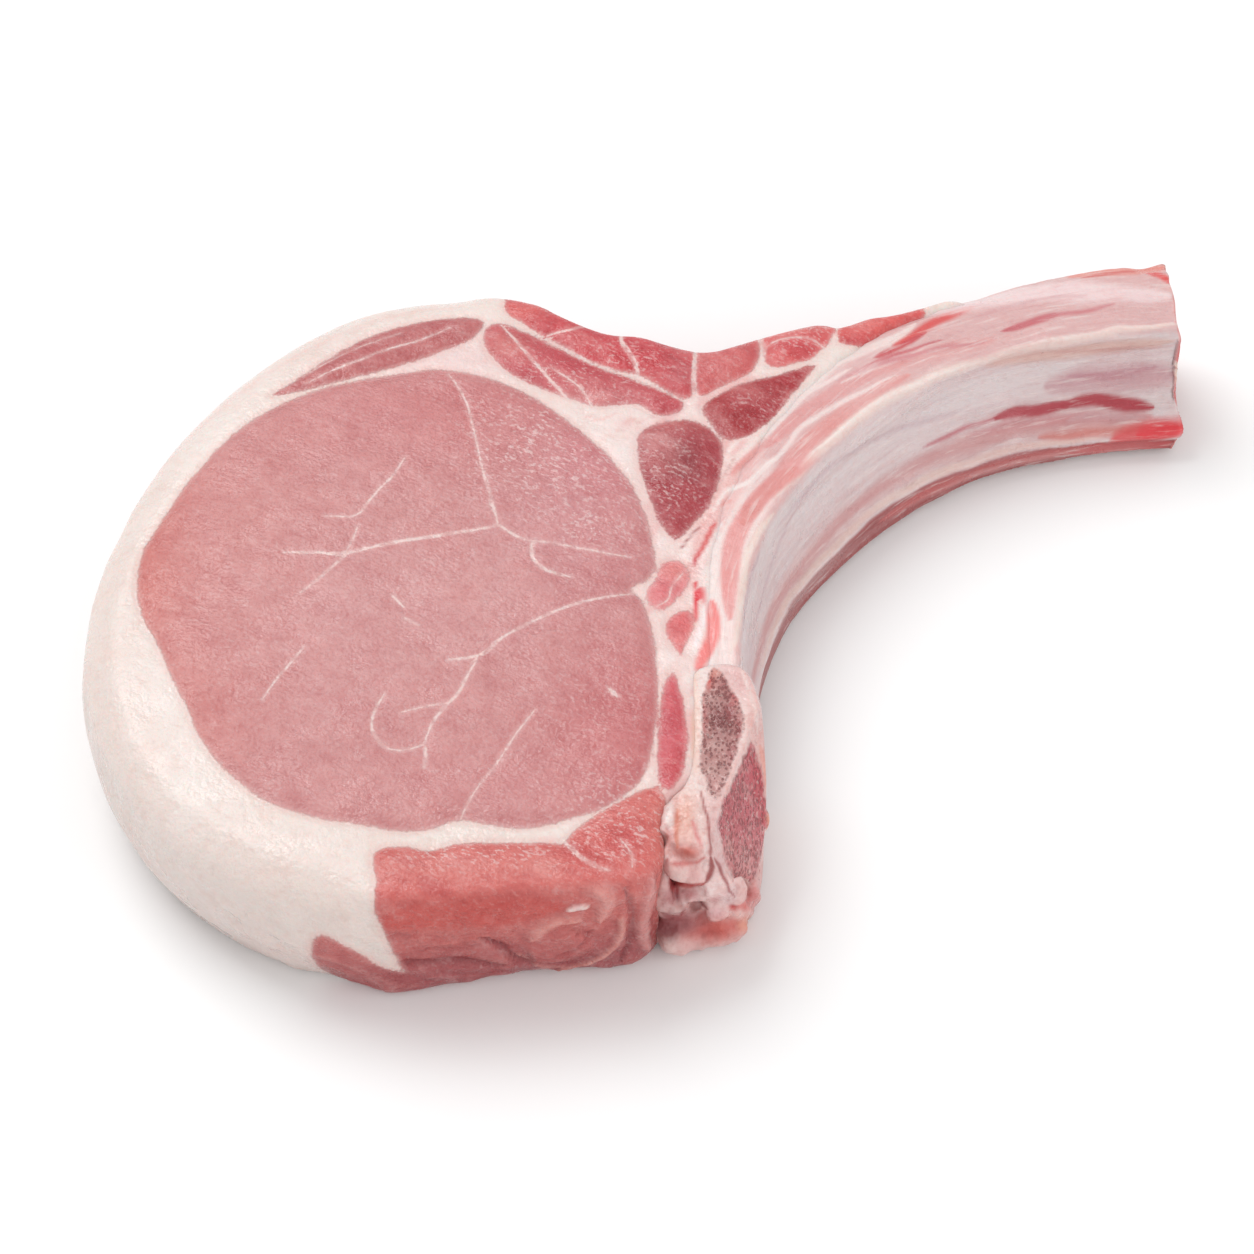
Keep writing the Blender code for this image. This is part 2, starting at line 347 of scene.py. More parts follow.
rings = []
for turn in np.radians((0, 30, 60, 90)):
    inset = BOTTOM_ROUND * (1 - math.sin(turn)) + FAT_BULGE * fat_share
    rings.append(flesh_ring(inset, BOTTOM_ROUND * (1 - math.cos(turn))))
for height in (6.0, 10.0, 14.5):
    swell = math.sin(math.pi * (height - BOTTOM_ROUND) / 21.3)
    rings.append(flesh_ring(FAT_BULGE * fat_share * (1 - swell), height))
for turn in np.radians((0, 15, 30, 45, 60, 75, 90)):
    reach = LEAN_ROUND + (FAT_ROUND - LEAN_ROUND) * fat_share
    drop = LEAN_ROUND + 3.4 * fat_share
    inset = reach * (1 - math.cos(turn)) + 0.3 * FAT_BULGE * fat_share * math.cos(turn)
    rings.append(flesh_ring(inset, THICKNESS - drop * (1 - math.sin(turn))))

bm = bmesh.new()
loft(bm, rings)
flesh = new_piece("chop_flesh", bm)
remesh(flesh, 0.64)

# %% [markdown]
# ## Where the muscles are
# Each muscle is a closed outline on the cut face. They run straight through the slab, so the same
# outlines serve the upper face, the lower face and the sides. What no outline covers is fat.

# %% Muscle outlines
MUSCLES = {
    "eye": [
        (-81, -4.6), (-79.6, -13), (-77.2, -18), (-74.2, -25), (-71.2, -31.5), (-68, -38.5),
        (-63.2, -45), (-57.2, -50), (-50, -53), (-42.5, -54.2), (-37.5, -55.3), (-33.2, -54.8),
        (-28.8, -53.2), (-24, -54.1), (-18, -54.4), (-10, -52), (-5, -49), (-2, -45.7),
        (-0.6, -42), (0.4, -35.5), (0.7, -28), (0, -17.5), (-1.6, -10.6), (-3.4, -8.4),
        (-0.8, -6.6), (0.5, -3.4), (0, 2), (-2, 10.5), (-6.6, 19.2), (-13.2, 27.4),
        (-23.2, 35.8), (-33.5, 39.3), (-40.2, 39), (-56.8, 34), (-69.4, 23), (-79, 4.3),
    ],
    "cap": [
        (-62.5, 33.6), (-59, 37), (-51.5, 44), (-45, 48.4), (-38, 50.9), (-30.8, 51.6), (-27.9, 50.4),
        (-29.8, 46.7), (-35, 43.6), (-40.4, 41), (-50.3, 37.4), (-57, 34.9),
    ],
    "upper": [
        (-24.5, 54.2), (-22.5, 62), (-12, 58), (-2, 54), (6, 51), (7.3, 44), (7.2, 38), (6.4, 33.2),
        (2.9, 34.4), (-1.5, 38.3), (-5.8, 39.6), (-10.6, 42), (-15.7, 45.8), (-20.6, 49.8),
    ],
    "second": [
        (-27.9, 48.1), (-26.4, 50.2), (-23.6, 49.8), (-15.8, 45), (-9.8, 41), (-3.8, 38.1),
        (1.4, 35.2), (5.4, 32.2), (3.8, 29.7), (0.9, 29.2), (-1.5, 31.3), (-3.8, 31.9),
        (-8.7, 31.3), (-12.5, 32.6), (-17.3, 34.9), (-23.8, 39.2), (-27.3, 44.1),
    ],
    "notch": [
        (7.0, 37.2), (7.4, 41.4), (8.5, 50), (17.6, 53), (18.2, 45), (17.5, 41), (15.5, 38.3),
        (11.6, 36.1), (8.0, 33.6),
    ],
    "outer": [
        (18.6, 43.4), (19, 53), (29, 58), (31.4, 55), (30.6, 48), (28.2, 43.8), (25.3, 41.4), (20, 40.2),
    ],
    "tail": [
        (31.3, 45.9), (32.0, 52), (36, 56), (42, 58), (45.5, 54.5), (46, 52.4), (44.2, 50.5), (41.2, 48.4),
        (38.1, 46.3), (35.1, 45),
    ],
    "dark": [
        (8.2, 31.0), (11.2, 34.3), (15.5, 36.9), (22, 38.8), (27, 40.6), (25.2, 36.9), (22.8, 33.3),
        (19.7, 28.4), (15.7, 24.5), (11.9, 23.8), (9.9, 26.9),
    ],
    "shield": [
        (-2.3, 24.1), (-0.3, 26.8), (3.8, 28.2), (7.3, 28.1), (10.2, 26), (11.6, 22.8), (11.2, 17.5),
        (10.3, 12.2), (7.5, 6.6), (4.9, 3.4), (3.5, 2.3), (1.4, 5), (-0.5, 11.2), (-1.9, 17.5),
    ],
    "small_a": [
        (1.5, -2.6), (4.2, -2.2), (5.7, -4.1), (5.7, -7.2), (4, -9.9), (1.5, -12.7), (-0.5, -11.5),
        (-1.1, -8.8), (0.3, -6.4),
    ],
    "small_b": [
        (2.6, -14), (5.3, -12.3), (6.6, -15.4), (5.2, -19), (4.1, -21.6), (2.9, -19), (1.8, -16.4),
    ],
    "lens": [
        (3.1, -25.0), (4.3, -29.3), (4.9, -34), (5.2, -39), (4.5, -43.8), (2.7, -47.6), (1.0, -46.8),
        (0.5, -42.3), (0.7, -37.3), (1.1, -31.5), (1.8, -27.2),
    ],
    "near": [
        (-41.4, -61), (-40.6, -58.7), (-36.7, -58), (-33.3, -58.9), (-28.8, -57.5), (-22.1, -57.2),
        (-15.5, -57.2), (-13.4, -57.4), (-12.4, -55.9), (-9.7, -52.9), (-5, -49.4), (-1.5, -47.4),
        (0.4, -46.9), (1.4, -48.4), (2.2, -50.6), (3, -56), (4, -72), (-38.6, -74), (-39.8, -67),
    ],
}
print(len(MUSCLES), "muscles,", sum(map(len, MUSCLES.values())), "points")

# %% [markdown]
# ## Marbling
# Marbling is fine threads of fat inside a muscle. Each thread is a line with a half width, and it
# fades out at both ends. The threads are finer than the mesh, so each point keeps the way to the
# nearest thread instead of a yes or no, and the material works out the rest between the points.

# %% Marbling threads
THREADS = [
    (0.30, [(-58, -1.7), (-53, -1.9), (-48.4, -2.1), (-40, 0.4), (-32, 2.1), (-24, 4)]),
    (0.16, [(-52, 5.7), (-47.2, 5.7), (-45.4, 8.3), (-43.5, 11.5), (-41.3, 14.7), (-39.8, 18.5)]),
    (0.10, [(-48.4, -2.3), (-47.4, 0.4), (-46.6, 3.6)]),
    (0.18, [(-47.6, -1.9), (-50.6, -5.2), (-52.8, -7.9), (-55, -10.2)]),
    (0.20, [(-24.6, 4.2), (-20.9, 1.5), (-17.5, 0.6)]),
    (0.14, [(-19.5, 1.1), (-14.6, 0.2), (-8.3, -1.3), (-3.5, -2.3)]),
    (0.26, [(-19.2, 0.9), (-18.8, -2.7), (-16.9, -5.2), (-12.7, -6.7)]),
    (0.20, [(-24.4, 4.2), (-25.5, 8.9), (-27.7, 17.6)]),
    (0.30, [(-24.9, 6.3), (-25.9, 9.0)]),
    (0.14, [(-27, 15), (-29.2, 26.4), (-30.5, 32), (-33.5, 38.4)]),
    (0.20, [(-2.2, -8.9), (-5.1, -10), (-9.8, -11.4), (-14.4, -13.4), (-19, -16.1), (-23.6, -19.5)]),
    (0.28, [(-19, -16.1), (-23.6, -19.5), (-25.8, -22.1), (-28.1, -23.1), (-31.5, -23.5)]),
    (0.22, [(-26.9, -23.1), (-28.6, -27.1), (-29.7, -30), (-31.6, -32.6), (-33.5, -35.8), (-34.6, -39.7)]),
    (0.18, [(-40.9, -30), (-42.2, -33.3), (-42.5, -36.8), (-40.4, -40.1), (-37.4, -40.6), (-34.6, -39.7)]),
    (0.10, [(-38.4, -33.7), (-34.7, -32.6), (-31.7, -32)]),
    (0.24, [(-34.6, -39.3), (-34.2, -41.5), (-34.4, -44)]),
    (0.12, [(-18, -33.3), (-20.9, -37.8), (-23.8, -43.5), (-26.2, -47.3), (-28.8, -53.2)]),
    (0.12, [(-59.5, -31), (-57.8, -27.5), (-55.7, -24.1), (-53.6, -20.7)]),
    (0.20, [(-40.6, -10.6), (-38.6, -13)]),
    (0.18, [(-38.6, -15), (-36.2, -16.8)]),
    (0.34, [(-6.8, -28.8), (-5.5, -30.4)]),
    (0.16, [(-57, 36.2), (-53, 38.8), (-45, 43.2), (-38.4, 46), (-33.5, 48.8)]),
    (0.06, [(-57.4, 38.4), (-50.7, 43.4), (-41.7, 47.8)]),
    (0.34, [(-24.8, 50.9), (-20.8, 49), (-15.7, 45.5), (-10.2, 41.6), (-4.8, 38.9), (1.2, 35.4), (6, 32)]),
    (0.20, [(-9.6, 51.5), (-12.2, 49.3), (-13.8, 48.4), (-17.5, 47.6)]),
    (0.36, [(-4.6, 50), (-5, 46.4), (-3.5, 43), (-2.3, 39.6), (-2.2, 37)]),
    (0.36, [(7, 29), (7.2, 33.5), (7.0, 37.6), (7.4, 45.5)]),
    (0.40, [(18.3, 40.2), (18.6, 44), (17.9, 48.5)]),
    (0.16, [(18.8, 44.6), (22, 46.4), (26.2, 46.3), (29.2, 44.3)]),
    (0.26, [(-25.2, 50.2), (-22.1, 45.1), (-19.2, 40.7), (-16.9, 37.3), (-14.7, 34.3), (-12.5, 31.5)]),
    (0.16, [(-16.4, 39.6), (-12.6, 36.1), (-10.9, 33.9), (-9.7, 31.2)]),
    (0.20, [(8.1, 29.8), (9.8, 26.7), (11.8, 23.6)]),
    (0.10, [(4.8, -4.8), (3, -7.9), (2.4, -10.4), (0.2, -12.1)]),
    (0.30, [(-13.4, -56.6), (-11.6, -59.3), (-8.6, -61.9), (-6.6, -62.6)]),
    (0.10, [(-5, -57), (-3.4, -59.6), (-3.2, -62.2)]),
]
THREAD_REACH = 1.2
NO_THREAD = np.array((3.0, 3.0))


def way_to_thread(xy):
    """The way from the nearest thread to each point, and that thread's half width there."""
    best = np.full(len(xy), THREAD_REACH)
    way = np.tile(NO_THREAD, (len(xy), 1))
    half = np.zeros(len(xy))
    for half_width, points in THREADS:
        line = smooth_line(points, spacing=0.8) + RECENTRE
        near = ((xy > line.min(0) - THREAD_REACH) & (xy < line.max(0) + THREAD_REACH)).all(1)
        spots = np.flatnonzero(near)
        gap, along, offset = nearest_on(xy[spots], line)
        width = half_width * np.sqrt(np.clip(0.06 + 4 * along * (1 - along), 0, 1))
        closer = gap < best[spots]
        best[spots[closer]] = gap[closer]
        way[spots[closer]] = offset[closer]
        half[spots[closer]] = width[closer]
    return np.column_stack([way, half]), best


# %% [markdown]
# ## The near side
# On the side nearest the viewer the lean comes right out to the surface, between the fat cap and
# the backbone. Its border with the fat leans over as it goes down, and a thin tongue of lean
# runs on under the fat. These shapes are drawn on the upright side, as x and height.

# %% Lean on the near side
NEAR_LEAN = [(-41.6, 32), (-40.6, 22), (-39.7, 17), (-38, 9), (-36.5, 5), (-34, -8), (40, -8), (40, 32)]
NEAR_TONGUE = [
    (-50.8, 12.5), (-49.6, 16.4), (-47.2, 16), (-44.6, 13.4), (-41.3, 9.8), (-37.6, 6.8),
    (-33, 5), (-33, -6), (-46, -6), (-49.6, 3), (-50.6, 8),
]


def borders(points, rim):
    """How deep each point lies in lean, and which muscle it belongs to."""
    below = step(THICKNESS - points[:, 2], 1.5, 14)
    wander = np.column_stack([noise(points, 9, 31), noise(points, 9, 32)])
    xy = points[:, :2] + 2.6 * below[:, None] * wander
    depths = np.stack([inside_by(xy, smooth_line(loop, True) + RECENTRE) for loop in MUSCLES.values()])
    owner = depths.argmax(0)
    lean = depths.max(0)
    upright = points[:, ::2]
    main = inside_by(upright, np.array(NEAR_LEAN, float), 30)
    tongue = inside_by(upright, smooth_line(NEAR_TONGUE, True), 30)
    on_side = step(-points[:, 1], 54.0, 57.0) * step(-rim, -4.4, -2.6) * step(points[:, 0], -60, -54)
    lean = lean + on_side * (np.maximum(main, tongue) - lean)
    return lean, owner


points, normals = points_of(flesh)
rim = inside_by(points[:, :2], outline, 60)
lean, owner = borders(points, rim)
to_thread, thread_gap = way_to_thread(points[:, :2])
print("points", len(points), "in lean", int((lean > 0).sum()))

# %% [markdown]
# ## Relief of the flesh
# A fresh cut is never quite flat. The loin muscle swells, every muscle stands a little proud of
# the fat round it, the seams lie slightly lower, and the whole face rolls gently. Where the flesh
# meets the bones it dips under them. The near side hangs in soft folds and tucks in underneath.

# %% Folds of the near side
# Height of the fold, half width, softness, strength of its tint, tint, then its line as x and height.
# Folds of negative height are creases, and their dark tints are painted shade.
FOLDS = [
    (0.0, 3.2, 3.0, 0.85, tone(206, 82, 74), [(-41, 20.6), (-30, 21), (-20, 20.8), (-13, 21.4)]),
    (1.1, 4.0, 4.0, 0.50, tone(204, 112, 108), [(-17.6, 6.4), (-14, 10), (-11, 13.4)]),
    (0.6, 1.0, 2.2, 0.70, tone(234, 168, 158), [(-18.5, 12.2), (-16.9, 15.2), (-13.9, 17.2), (-10.6, 16.6)]),
    (0.9, 1.1, 2.2, 0.70, tone(236, 172, 164), [(-14.8, 25.4), (-10.8, 25.8), (-8.2, 24.4), (-6.8, 21.6), (-8, 16)]),
    (0.6, 0.5, 0.7, 0.75, tone(228, 166, 156), [(-5, 17), (-4.6, 13), (-5.5, 9.2), (-7.6, 6.1), (-11.1, 3.2), (-15, 1.6)]),
    (0.3, 0.4, 0.6, 0.70, tone(222, 150, 142), [(-20.4, 8.6), (-18.8, 5.6), (-16.6, 3.6), (-13, 2.7)]),
    (-1.0, 0.6, 1.0, 0.75, tone(150, 64, 68), [(-26, 14.6), (-22.9, 10.9), (-20.9, 7.3), (-17.8, 4.5)]),
    (-0.7, 0.8, 1.2, 0.65, tone(142, 58, 62), [(-38.2, 9.2), (-34.9, 8.6), (-30.5, 8.1), (-26.8, 7.3), (-22, 5)]),
    (-0.7, 0.5, 0.9, 0.55, tone(160, 76, 80), [(-4.2, 24), (-3.2, 17), (-3.4, 9), (-5, 3)]),
    (-0.4, 0.4, 0.8, 0.40, tone(168, 78, 80), [(-9, 13.6), (-11.6, 9.6), (-15.4, 7.4)]),
    # A painted highlight: a near-white spot of light on the fold.
    (0.4, 0.8, 0.5, 0.85, tone(252, 232, 226), [(-12.9, 20.3), (-11, 20.9), (-9.5, 20.4)]),
    (0.8, 0.9, 0.9, 0.75, tone(216, 152, 148), [(-0.2, 25.5), (-0.7, 19.6), (-1.6, 11.9), (-1.1, 4.1)]),
    (0.2, 0.4, 0.6, 0.55, tone(206, 140, 136), [(-49.6, 11.2), (-46.1, 8.7), (-42.5, 6.2), (-38.9, 3.8), (-35, 2.6)]),
    (0.2, 0.3, 0.5, 0.50, tone(202, 134, 130), [(-45.8, 12.7), (-42.3, 10), (-38.7, 8)]),
    (0.3, 0.5, 0.8, 0.40, tone(214, 128, 122), [(-36, 16), (-30, 13.6), (-24, 15.4)]),
    (-0.3, 0.4, 0.8, 0.40, tone(176, 84, 84), [(-34, 12.6), (-29, 11.4), (-24.6, 12.4)]),
    (0.25, 0.5, 0.8, 0.40, tone(196, 118, 118), [(-34, 5), (-28, 3.4), (-21, 2.4)]),
]
TUCK_AT, TUCK_BY = (-38, -30, -20, -8, 0, 4, 12), (0.3, 1.2, 2.8, 2.2, 2.6, 1.6, 2.8)


def tuck_under(points):
    """Draws the foot of the near side in, more towards the backbone."""
    by = np.interp(points[:, 0], TUCK_AT, TUCK_BY) * np.clip(1 - points[:, 2] / THICKNESS, 0, 1)
    points[:, 1] += by * step(-points[:, 1], 50, 60)


# %% Carve the flesh
BACKBONE_OUTLINE = [
    (6.0, -25.2), (8.4, -23.4), (12.4, -23.2), (15.2, -26), (16.6, -32), (17.1, -38), (17.1, -44), (16.6, -49),
    (15.5, -54), (14.2, -58), (12, -60.6), (8, -61.4), (4, -61.2), (1.2, -59.2), (0.8, -54), (2, -49.6),
    (4.8, -46.2), (5.9, -38), (5.9, -31),
]
backbone_loop = smooth_line(BACKBONE_OUTLINE, closed=True, spacing=1.6) + RECENTRE
_, rib_across, rib_half = on_the_rib(points)
rib_edge = (rib_across + 1) * rib_half
rib_edge[points[:, 1] < -24] = -9
rib_edge += 0.6 * noise(points[:, :2], 3, 9)
over_backbone = inside_by(points[:, :2], backbone_loop)
under_bone = np.maximum(step(rib_edge, 1.2, 3.2), step(over_backbone, 0.1, 1.6))
beside_bone = np.maximum(step(rib_edge, -6, 0), step(over_backbone, -5, 0))

upper = step(normals[:, 2], 0.1, 0.8)
sideways = 1 - np.abs(normals[:, 2]) ** 2
away = np.hypot(*(points[:, :2] - EYE_CENTRE).T) / EYE_HALF_WIDTH
rise = EYE_DOME * np.clip(1 - away**2, 0, 1)
rise += 0.5 * step(lean, 0, 3.0) - 0.2 * np.exp(-((lean / 0.7) ** 2))
rise += 0.38 * noise(points[:, :2], 24, 1) + 0.18 * noise(points[:, :2], 7, 2)
rise += (0.08 + 0.09 * (owner > 0)) * noise(points, 2.4, 3) * step(lean, -0.5, 0.8)
rise -= 0.12 * (1 - step(thread_gap, 0.2, 0.6)) * (lean > 0)
ridge = np.exp(-(((rim - 6.4) / 1.6) ** 2)) * step(-points[:, 0], 45, 60) * step(-points[:, 1], -20, 10)
rise += 0.24 * ridge
rise *= 1 - 0.85 * beside_bone
points[:, 2] += upper * (rise * step(rim, 0, 5) - 1.3 * under_bone + 0.1 * step(rib_edge, -1, 0.4))

front = step(-points[:, 1], 56, 60) * step(-normals[:, 1], 0.25, 0.7)
upright = points[:, ::2].copy()
fold_masks = [stroke(upright, half, line, soft) * front for _, half, soft, _, _, line in FOLDS]
fold_height = sum(fold[0] * mask for fold, mask in zip(FOLDS, fold_masks))
sway = 0.55 * noise(points, 16, 4) + 0.18 * noise(points, 5, 5)
slant = upright @ np.array([[0.8, 0.6], [-0.6, 0.8]])
strands = 0.22 * noise(slant * (0.35, 1.0), 1.6, 6) + 0.2 * noise(points, 2.8, 7)
push = sideways * sway * step(points[:, 2], 1.0, 5.0) + front * (fold_height + strands)
points[:, :2] += push[:, None] * normals[:, :2]
tuck_under(points)
move_points(flesh, points)

# %% [markdown]
# ## Painting the flesh
# Each muscle has its own red: the ones that work hardest are darkest. The loin muscle is the
# palest, salmon at its outer edge and dustier towards the middle. The fat is a warm white, a
# little pinker where it is thin. Low on the sides the fat, and on the near side the lean, are
# painted darker as shade near the floor.

# %% Strokes on the upper face
# Strength, half width, softness, tint, then the line as x and y. The web and the flesh beside the
# rib lie partly on the flesh and partly on the rib, so both pieces are painted from this one list.
TOP_STROKES = [
    (0.60, 2.2, 2.6, tone(246, 226, 222), [(9, -22), (9.8, -12), (9.6, -4), (11, 4), (14.6, 12), (20, 20)]),
    (0.65, 1.8, 1.8, tone(235, 176, 173), [(6.6, -2), (8.4, 3), (10.8, 8), (14.2, 16), (18, 22)]),
    (1.00, 1.6, 0.9, tone(236, 168, 165), [
        (12.0, -15.0), (11.9, -10.6), (12.1, -6.5), (12.4, -2.3), (13.0, 1.9), (14.1, 5.1), (15.8, 8.7),
        (17.9, 12.0), (20.7, 15.2), (24.0, 18.6), (27.4, 22.2), (31.6, 26.2),
    ]),
    (0.75, 1.5, 1.2, tone(227, 146, 140), [(14.2, 5.0), (15.8, 8.4), (17.9, 11.8), (20.7, 15.2), (23.4, 17.8)]),
    (0.50, 0.8, 1.0, tone(232, 146, 142), [(11.6, -10), (11.5, -6), (11.9, -3)]),
    (1.00, 1.05, 0.8, tone(246, 140, 137), [(9.2, -10.2), (9.4, -14.7), (9.3, -17.7), (8.5, -20.3), (7.5, -22.7), (6.9, -25)]),
    (1.00, 0.85, 0.4, tone(226, 70, 79), [(7.0, -8.2), (7.1, -9.6), (6.9, -10.8)]),
    (1.00, 0.45, 0.4, tone(226, 66, 76), [(6.7, -6.9), (7.1, -8.4), (6.8, -10.6), (6.6, -12.8), (6.3, -15.9)]),
    (0.70, 0.25, 0.4, tone(236, 120, 124), [(7.9, -8), (8.0, -10), (7.5, -12.4)]),
    (0.90, 0.45, 0.5, tone(250, 236, 236), [(8.4, -10.6), (7.9, -14.2), (7.1, -17.7), (6.3, -21.2)]),
    (0.80, 0.8, 0.8, tone(246, 228, 223), [(8.4, -3.4), (9.3, -7.5), (9.9, -10.8)]),
    (0.95, 0.42, 0.5, tone(220, 98, 98), [(6.2, -3.8), (7.0, -1.5), (7.9, 0.2), (8.7, 2.3), (9.5, 4.5), (10.4, 6.2)]),
    (0.80, 0.3, 0.4, tone(196, 62, 72), [(6.5, -3.4), (6.8, -2.2), (7.1, -1.4)]),
    (0.80, 0.18, 0.35, tone(164, 74, 78), [(4.3, -0.1), (6.0, 2.8), (7.6, 4.9)]),
    (0.60, 0.22, 0.4, tone(198, 138, 132), [(9.8, 10.6), (10.9, 14.1), (12.1, 16.9), (13.6, 20.2)]),
    (0.70, 0.5, 0.7, tone(236, 160, 154), [(10.8, 9.6), (11.7, 10.2), (12.7, 10.6)]),
    (0.80, 0.7, 1.0, tone(231, 156, 152), [(12.4, 15.6), (14, 17.8), (16.6, 21), (19, 24), (22, 27)]),
    (0.90, 0.45, 0.5, tone(248, 234, 230), [(9.8, 8.2), (11.7, 12.2), (13.3, 13.2), (15.4, 14.3), (17.1, 16.1), (19.1, 18.7), (22, 21.6)]),
    (0.85, 0.5, 0.6, tone(248, 236, 232), [(11.4, 18.6), (13.6, 23.2), (17.6, 26.2), (22.7, 32.2), (26.8, 36.8)]),
    (0.85, 0.28, 0.5, tone(248, 234, 231), [(7.2, -3.2), (8.8, 0.2), (10.0, 3.0), (11.4, 6.4)]),
    (0.90, 0.6, 0.7, tone(240, 219, 210), [
        (11.6, -21.6), (12.8, -18.7), (13.6, -12.6), (14.3, -6.5), (15.0, -1.2), (16.4, 2.6), (18.0, 5.6),
        (20.1, 8.2), (23.1, 11.8),
    ]),
    (0.70, 0.3, 0.4, tone(240, 190, 164), [(5.7, -30.5), (5.9, -34.4), (6.2, -39.2), (6.3, -44)]),
    (0.60, 0.3, 0.4, tone(232, 186, 180), [(-4.5, 27.4), (-3, 28.4), (-2.2, 27.4)]),
    (0.55, 0.3, 0.4, tone(236, 192, 187), [(-6, 29.6), (-8.5, 28.2), (-11.5, 29.4)]),
    (0.55, 0.25, 0.4, tone(236, 196, 192), [(-2.6, 25.6), (-1.2, 28.2), (1.4, 29.2)]),
]

# %% Paint the flesh
MUSCLE_TONES = {
    "eye": tone(211, 150, 149), "cap": tone(194, 112, 112), "upper": tone(208, 72, 80),
    "second": tone(202, 86, 94), "notch": tone(214, 108, 108), "outer": tone(222, 104, 104),
    "tail": tone(224, 100, 98), "dark": tone(176, 48, 56), "shield": tone(178, 70, 78),
    "small_a": tone(238, 156, 157), "small_b": tone(230, 132, 132), "lens": tone(214, 98, 106), "near": tone(218, 116, 110),
}
SALMON, ROSE, MAUVE, DEEP = tone(216, 130, 122), tone(207, 126, 127), tone(210, 150, 153), tone(148, 52, 60)
PALE_PINK = tone(222, 162, 160)
MEAT_SPOTS = [
    ((-81, -5), (9, 34), SALMON, 0.95), ((-75, -36), (12, 14), SALMON, 0.6), ((-66, 0), (12, 30), tone(214, 144, 140), 0.5),
    ((-33, 30), (26, 12), ROSE, 0.7), ((-8, 20), (9, 14), tone(212, 132, 138), 0.7), ((-14, 4), (10, 16), MAUVE, 0.5),
    ((-4, -38), (12, 20), tone(204, 118, 120), 0.9), ((-40, -12), (20, 14), tone(218, 164, 163), 0.6),
    ((-6, -4), (8, 8), tone(208, 140, 142), 0.5), ((-24, -47), (16, 6), tone(214, 146, 146), 0.5),
    ((5.5, 18), (4, 7), DEEP, 0.9), ((5, 10), (3, 5), tone(176, 66, 74), 0.7), ((1, 23.5), (3.4, 3.4), PALE_PINK, 0.6),
    ((4, 27), (6, 1.8), tone(206, 120, 118), 0.7), ((15.5, 28.6), (4.4, 3), tone(166, 44, 52), 0.85),
    ((19.5, 33), (3, 3), tone(178, 74, 80), 0.6), ((14.4, 34), (2.5, 2.5), tone(204, 118, 118), 0.5),
    ((-22, 53.4), (6, 3.4), tone(228, 118, 112), 0.8), ((-12, 47.5), (5, 3), tone(206, 78, 84), 0.7),
    ((-24, 45), (4, 4), tone(216, 130, 126), 0.8), ((-8, 36.5), (9, 3), tone(202, 92, 98), 0.6),
    ((-10, 33), (8, 2), PALE_PINK, 0.6), ((0, 43), (4, 3), tone(202, 74, 82), 0.7), ((4.6, 38), (2.4, 4), tone(204, 116, 120), 0.7),
    ((3, 31), (3, 2), tone(200, 88, 96), 0.7), ((9, 40), (2, 4), tone(206, 96, 98), 0.6), ((24, 50), (6, 2), tone(228, 138, 130), 0.8),
    ((25, 44.6), (3, 2), tone(214, 84, 90), 0.8), ((36, 50), (6, 2), tone(228, 110, 104), 0.7), ((34, 46), (3, 1.4), tone(206, 76, 82), 0.7),
    ((3, -4.6), (2.4, 1.8), tone(234, 146, 138), 0.6), ((2.2, -9), (2.4, 2.6), tone(218, 96, 106), 0.6),
    ((4.4, -15), (2, 1.8), tone(226, 104, 108), 0.6), ((2.6, -34), (1.4, 10), tone(222, 108, 118), 0.5),
    ((3.6, -44), (2, 3), tone(206, 76, 82), 0.6), ((-11, -60), (4, 2.6), tone(206, 78, 76), 0.8),
    ((-4, -57), (3.6, 3), tone(206, 80, 80), 0.8), ((-30, -62), (12, 3), tone(224, 142, 134), 0.6),
    ((1, -55), (2.4, 6), tone(226, 140, 130), 0.6), ((-16, -62), (3, 2), tone(230, 156, 148), 0.6),
]
names = list(MUSCLES)
sheet = points[:, :2] - RECENTRE
meat = np.array([MUSCLE_TONES[name] for name in names])[owner]
for centre, reach, tint, strength in MEAT_SPOTS:
    home = owner[np.argmin(((sheet - centre) ** 2).sum(1))]
    spread = np.exp(-(((sheet - centre) / reach) ** 2).sum(1))
    meat = lay(meat, strength * spread * (owner == home), tint)
slanting = sheet @ np.array([[0.87, 0.5], [-0.5, 0.87]])
mottle = noise(slanting * (0.45, 1.0), 3.0, 41) + 0.6 * noise(slanting * (0.6, 1.0), 1.5, 42)
small = np.where(owner > 0, 1.0, 0.0)
meat = lay(meat, (0.14 + 0.06 * small) * step(mottle, 0.1, 0.9), tone(229, 160, 157))
meat = lay(meat, (0.12 + 0.18 * small) * step(-mottle, 0.1, 0.9), tone(180, 60, 70))
# low is 1 at the foot of the flesh and 0 from 20 mm up. It lays painted shade near the floor: here on the near side's
# lean, and below on the fat of the sides.
low = 1 - step(points[:, 2], 3, 20)
meat = lay(meat, 0.8 * front, tone(206, 110, 104))
meat = lay(meat, 0.9 * front * low, tone(168, 88, 92))
meat = lay(meat, 0.5 * front * step(-points[:, 0], 38, 42), tone(196, 106, 104))
meat = lay(meat, 0.35 * front * step(strands, 0.05, 0.3), tone(222, 146, 140))
meat = lay(meat, 0.35 * front * step(-strands, 0.05, 0.3), tone(172, 76, 78))
# Fold tints: the dark ones in the creases are painted shade, and one near-white spot is a painted highlight.
for fold, mask in zip(FOLDS, fold_masks):
    meat = lay(meat, fold[3] * mask, fold[4])

